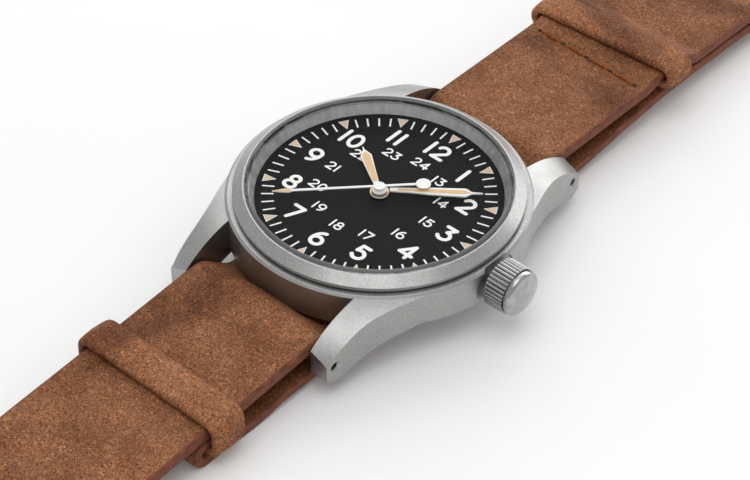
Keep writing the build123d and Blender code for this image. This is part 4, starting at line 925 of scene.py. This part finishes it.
digit_strokes = {
    "0": [bow((0.31, 0.5), (0.27, 0.5), 90, 450, 28)],
    "1": [[(0.31, 0.0), (0.31, 1.0)]],
    "2": [bow((0.31, 0.71), (0.26, 0.29), 165, -30) + [(0.05, 0.0), (0.6, 0.0)]],
    "3": [[(0.07, 1.0), (0.55, 1.0), (0.27, 0.6)] + bow((0.28, 0.3), (0.29, 0.3), 85, -150)],
    "4": [[(0.47, 0.0), (0.47, 1.0), (0.02, 0.27), (0.66, 0.27)]],
    "5": [[(0.53, 1.0), (0.15, 1.0), (0.09, 0.56)] + bow((0.3, 0.32), (0.28, 0.32), 118, -150)],
    "6": [bow((0.31, 0.3), (0.27, 0.3), 90, 450, 24), bow((0.49, 0.34), (0.45, 0.66), 180, 100, 12)],
    "7": [[(0.04, 1.0), (0.58, 1.0), (0.22, 0.0)]],
    "8": [bow((0.31, 0.755), (0.215, 0.245), 90, 450, 22), bow((0.31, 0.265), (0.27, 0.265), 90, 450, 24)],
    "9": [bow((0.31, 0.7), (0.27, 0.3), 90, 450, 24), bow((0.13, 0.66), (0.45, 0.66), 0, -80, 12)],
}


def add_polygon(spots, height, points, faces):
    """Flat face through spots in plan."""
    base = len(points)
    points += [(spot[0], spot[1], height) for spot in spots]
    faces.append(tuple(range(base, base + len(spots))))


def stroke_faces(line, width, height, points, faces):
    """Round-ended flat stroke along a line of points, each part a hair above the last."""
    half = width / 2
    for first, second in zip(line, line[1:]):
        run = Vector(second) - Vector(first)
        if run.length < shortest_run:
            continue
        side = Vector((-run.y, run.x)).normalized() * half
        height += stroke_rise
        ends = (Vector(first) + side, Vector(first) - side, Vector(second) - side, Vector(second) + side)
        add_polygon(ends, height, points, faces)
    for spot in line:
        height += stroke_rise
        rim = [polar(half, angle) for angle in circle_angles(stroke_end_sides)]
        add_polygon([(spot[0] + x, spot[1] + y) for x, y in rim], height, points, faces)
    return height


def numeral(text, place, size, weight, height, points, faces, spread=1.0):
    """Upright number centred on a place."""
    advances = [narrow_advance if digit == "1" else wide_advance for digit in text]
    cursor = place[0] - sum(advances) * size * spread / 2
    for digit, advance in zip(text, advances):
        middle = cursor + advance * size * spread / 2
        for stroke in digit_strokes[digit]:
            line = []
            for x, y in stroke:
                across = middle + (x - digit_middle[0]) * size * spread
                line.append((across, place[1] + (y - digit_middle[1]) * (size - weight)))
            height = stroke_faces(line, weight, height, points, faces)
        cursor += advance * size * spread


def clock_angle(hours):
    """Angle of an hour, counted on from twelve."""
    return radians(90 - 360 * hours / hours_round)


def make_dial_numbers():
    """Hours, inner hours and minute marks."""
    height = dial_top / mm + print_lift
    points, faces = [], []
    for hour in range(1, hours_round + 1):
        angle = clock_angle(hour)
        numeral(str(hour), polar(hour_reach, angle), hour_size, hour_weight, height, points, faces)
        place = polar(inner_reach, angle)
        inner = str(hour + hours_round)
        numeral(inner, place, inner_size, inner_weight, height, points, faces, inner_spread)
    marks_per_hour = minutes_round // hours_round
    for minute in range(minutes_round):
        if minute % marks_per_hour:
            angle = clock_angle(minute / marks_per_hour)
            near, far = Vector(polar(mark_start, angle)), Vector(polar(mark_end, angle))
            side = Vector((-sin(angle), cos(angle))) * mark_half
            add_polygon((near + side, near - side, far - side, far + side), height, points, faces)
    add_piece("dial_numbers", points, faces, ("print",), "watch", smooth=False)


def make_dial_triangles():
    """Sand triangles at the hours, each on a white one that is a little larger."""
    for name, look, grow, lift in (
        ("dial_triangles", "marker", 0.0, triangle_lift),
        ("dial_triangle_edges", "print", triangle_border, print_lift),
    ):
        points, faces = [], []
        for hour in range(hours_round):
            angle = clock_angle(hour)
            along = Vector((cos(angle), sin(angle)))
            side = Vector((-sin(angle), cos(angle))) * (triangle_half + triangle_side_growth * grow)
            tip = along * (triangle_tip - triangle_tip_growth * grow)
            base = along * (triangle_base + grow)
            add_polygon((tip, base + side, base - side), dial_top / mm + lift, points, faces)
        add_piece(name, points, faces, (look,), "watch", smooth=False)


make_dial_numbers()
make_dial_triangles()


# Hands: angles in degrees from twelve, windows as reach and half width along the hand

hour_angle = 304.3
minute_angle = 51.7
seconds_angle = 223.5
hour_window = [(7.5, 0), (6.8, 0.5), (4.1, 0.42), (1.9, 0.3)]
minute_window = [(10.95, 0), (10.2, 0.34), (5.85, 0.3), (2.2, 0.17)]
seconds_window = [(12.6, 0.05), (11.55, 0.22), (10.74, 0.28), (10.5, 0.1)]
window_foot = 0.01
window_lift = 0.03
window_draw = 0.999
hour_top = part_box("hour_hand")[1][2] / mm
minute_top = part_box("minute_hand")[1][2] / mm
seconds_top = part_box("seconds_hand")[1][2] / mm
hub_ring_inner = 0.86
hub_ring_outer = 1.12
hub_ring_rise = 0.06
hub_ring_sides = 48


def hand_lume(name, body, angle, top, window):
    """Filled window on a hand."""
    turn = radians(90 - angle)
    along = Vector((cos(turn), sin(turn)))
    side = Vector((-sin(turn), cos(turn)))
    ring = [along * reach + side * half for reach, half in window]
    ring += [along * reach - side * half for reach, half in reversed(window) if half > 0]
    points = [(spot.x, spot.y, top + window_foot) for spot in ring]
    points += [(spot.x * window_draw, spot.y * window_draw, top + window_lift) for spot in ring]
    count = len(ring)
    faces = [tuple(range(count, 2 * count))] + side_faces(2, count)
    add_piece(name, points, faces, ("lume",), body, smooth=False)


def make_hub_ring():
    """Brass ring round the hub of the hour hand."""
    corners = (
        (hub_ring_outer, 0.0),
        (hub_ring_outer, hub_ring_rise),
        (hub_ring_inner, hub_ring_rise),
        (hub_ring_inner, 0.0),
    )
    points = []
    for angle in circle_angles(hub_ring_sides):
        points += [(*polar(radius, angle), hour_top + lift) for radius, lift in corners]
    faces = side_faces(hub_ring_sides, len(corners), closed=True)
    item = add_piece("hub_ring", points, faces, ("brass",), "hours", smooth=False)
    clean_normals(item)


hand_lume("hour_lume", "hours", hour_angle, hour_top, hour_window)
hand_lume("minute_lume", "minutes", minute_angle, minute_top, minute_window)
hand_lume("seconds_lume", "seconds", seconds_angle, seconds_top, seconds_window)
make_hub_ring()


# Stitching beside the loop at twelve, in millimetres

stitch_first = Vector((-7.9, 40.15, 0))
stitch_last = Vector((8.2, 39.45, 0))
stitch_count = 4
stitch_gap_share = 0.09
stitch_steps = 14
stitch_radius = 0.25
stitch_rise = 0.24
stitch_sink = 0.12
thread_sides = 10
pit_length = 0.3
pit_width = 0.26
pit_lift = 0.012
pit_sides = 16
groove_half = 0.24
groove_lift = 0.006
groove_steps = 32
probe_height = 20


def tube(line, radius, points, faces):
    """Round tube along a line of points, closed at both ends."""
    base = len(points)
    for index, here in enumerate(line):
        along = heading(line, index)
        side = along.cross(Vector((0, 0, 1))).normalized()
        up = side.cross(along)
        for angle in circle_angles(thread_sides):
            points.append(here + radius * (cos(angle) * side + sin(angle) * up))
    last = base + (len(line) - 1) * thread_sides
    faces += side_faces(len(line), thread_sides, base=base)
    faces.append(tuple(range(base, base + thread_sides)))
    faces.append(tuple(reversed(range(last, last + thread_sides))))


def strap_skin():
    """Surface of the long strap, to be probed from above."""
    strap = bpy.data.objects["long_strap_leather"].data
    corners = [corner.co for corner in strap.vertices]
    return BVHTree.FromPolygons(corners, [face.vertices[:] for face in strap.polygons])


def on_strap(skin, spot, lift):
    """Point of the strap's top face under a spot, lifted a little."""
    found = skin.ray_cast((spot + Vector((0, 0, probe_height))) * mm, Vector((0, 0, -1)))[0]
    return Vector((spot.x, spot.y, found.z / mm + lift))


def make_stitches(skin):
    """Long stitches that rise from the leather and sink in again."""
    points, faces = [], []
    for index in range(stitch_count):
        start = stitch_first.lerp(stitch_last, (index + stitch_gap_share) / stitch_count)
        end = stitch_first.lerp(stitch_last, (index + 1 - stitch_gap_share) / stitch_count)
        line = []
        for step in range(stitch_steps + 1):
            share = step / stitch_steps
            rise = stitch_rise * sin(pi * share) ** 0.5 - stitch_sink
            line.append(on_strap(skin, start.lerp(end, share), rise))
        tube(line, stitch_radius, points, faces)
    item = add_piece("stitches", points, faces, ("thread",), "watch")
    clean_normals(item)


def make_stitch_holes(skin):
    """Painted shade: flat dark patches for the stitch holes between the stitches, and a dark strip for the
    groove under them.
    """
    points, faces = [], []
    for index in range(stitch_count + 1):
        spot = stitch_first.lerp(stitch_last, index / stitch_count)
        base = len(points)
        for angle in circle_angles(pit_sides):
            rim = spot + Vector((pit_length * cos(angle), pit_width * sin(angle), 0))
            points.append(on_strap(skin, rim, pit_lift))
        faces.append(tuple(range(base, base + pit_sides)))
    along = (stitch_last - stitch_first).normalized()
    side = Vector((-along.y, along.x, 0)) * groove_half
    for step in range(groove_steps + 1):
        middle = stitch_first.lerp(stitch_last, step / groove_steps)
        base = len(points)
        points += [on_strap(skin, middle - side, groove_lift), on_strap(skin, middle + side, groove_lift)]
        if step > 0:
            faces.append((base - 2, base, base + 1, base - 1))
    add_piece("stitch_holes", points, faces, ("hole_shade",), "watch", smooth=False)


long_strap_skin = strap_skin()
make_stitches(long_strap_skin)
make_stitch_holes(long_strap_skin)


# Floor and light: sizes and places in metres

floor_half = 3.0
floor_tone = 0.87
floor_spread = 0.01
floor_glow = 0.04
world_strength = 0.6
far_box = {"place": (-0.6, 0.67, 0.66), "size": (1.1, 0.9), "radiance": 1.1}
twelve_box = {"place": (-0.07, 1.05, 0.38), "size": (1.0, 0.7), "radiance": 1.7}
top_box = {"place": (0.1, -0.15, 1.1), "size": (0.9, 0.9), "radiance": 1.6}


def make_floor():
    """Pale floor under the watch."""
    half = floor_half
    corners = [(-half, -half, 0), (half, -half, 0), (half, half, 0), (-half, half, 0)]
    data = bpy.data.meshes.new("floor")
    data.from_pydata(corners, [], [(0, 1, 2, 3)])
    shader = Shader("floor_light_table", grey(floor_tone), roughness=0.9)
    tooth = shader.noise(scale=30, detail=2.0)
    dark, light = grey(floor_tone - floor_spread), grey(floor_tone + floor_spread)
    shader.feed("Base Color", shader.ramp(tooth, ((noise_low, dark), (noise_high, light))))
    shader.set("Emission Color", (1, 1, 1, 1))
    shader.set("Emission Strength", floor_glow)
    data.materials.append(shader.material)
    floor = bpy.data.objects.new("floor", data)
    bpy.context.collection.objects.link(floor)


def soft_box(name, place, size, radiance):
    """Rectangular light of an even brightness, facing the watch."""
    data = bpy.data.lights.new(name, "AREA")
    data.shape = "RECTANGLE"
    data.size, data.size_y = size
    data.energy = radiance * pi * size[0] * size[1]
    light = bpy.data.objects.new(name, data)
    light.location = place
    light.rotation_euler = (-Vector(place)).to_track_quat("-Z", "Y").to_euler()
    bpy.context.collection.objects.link(light)


def make_light():
    """Even pale surroundings and three soft boxes."""
    bpy.context.scene.view_settings.view_transform = "Standard"
    world = bpy.data.worlds.new("studio")
    world.use_nodes = True
    background = world.node_tree.nodes["Background"]
    background.inputs["Color"].default_value = (1, 1, 1, 1)
    background.inputs["Strength"].default_value = world_strength
    bpy.context.scene.world = world
    soft_box("far_box", **far_box)
    soft_box("twelve_box", **twelve_box)
    soft_box("top_box", **top_box)


make_floor()
make_light()
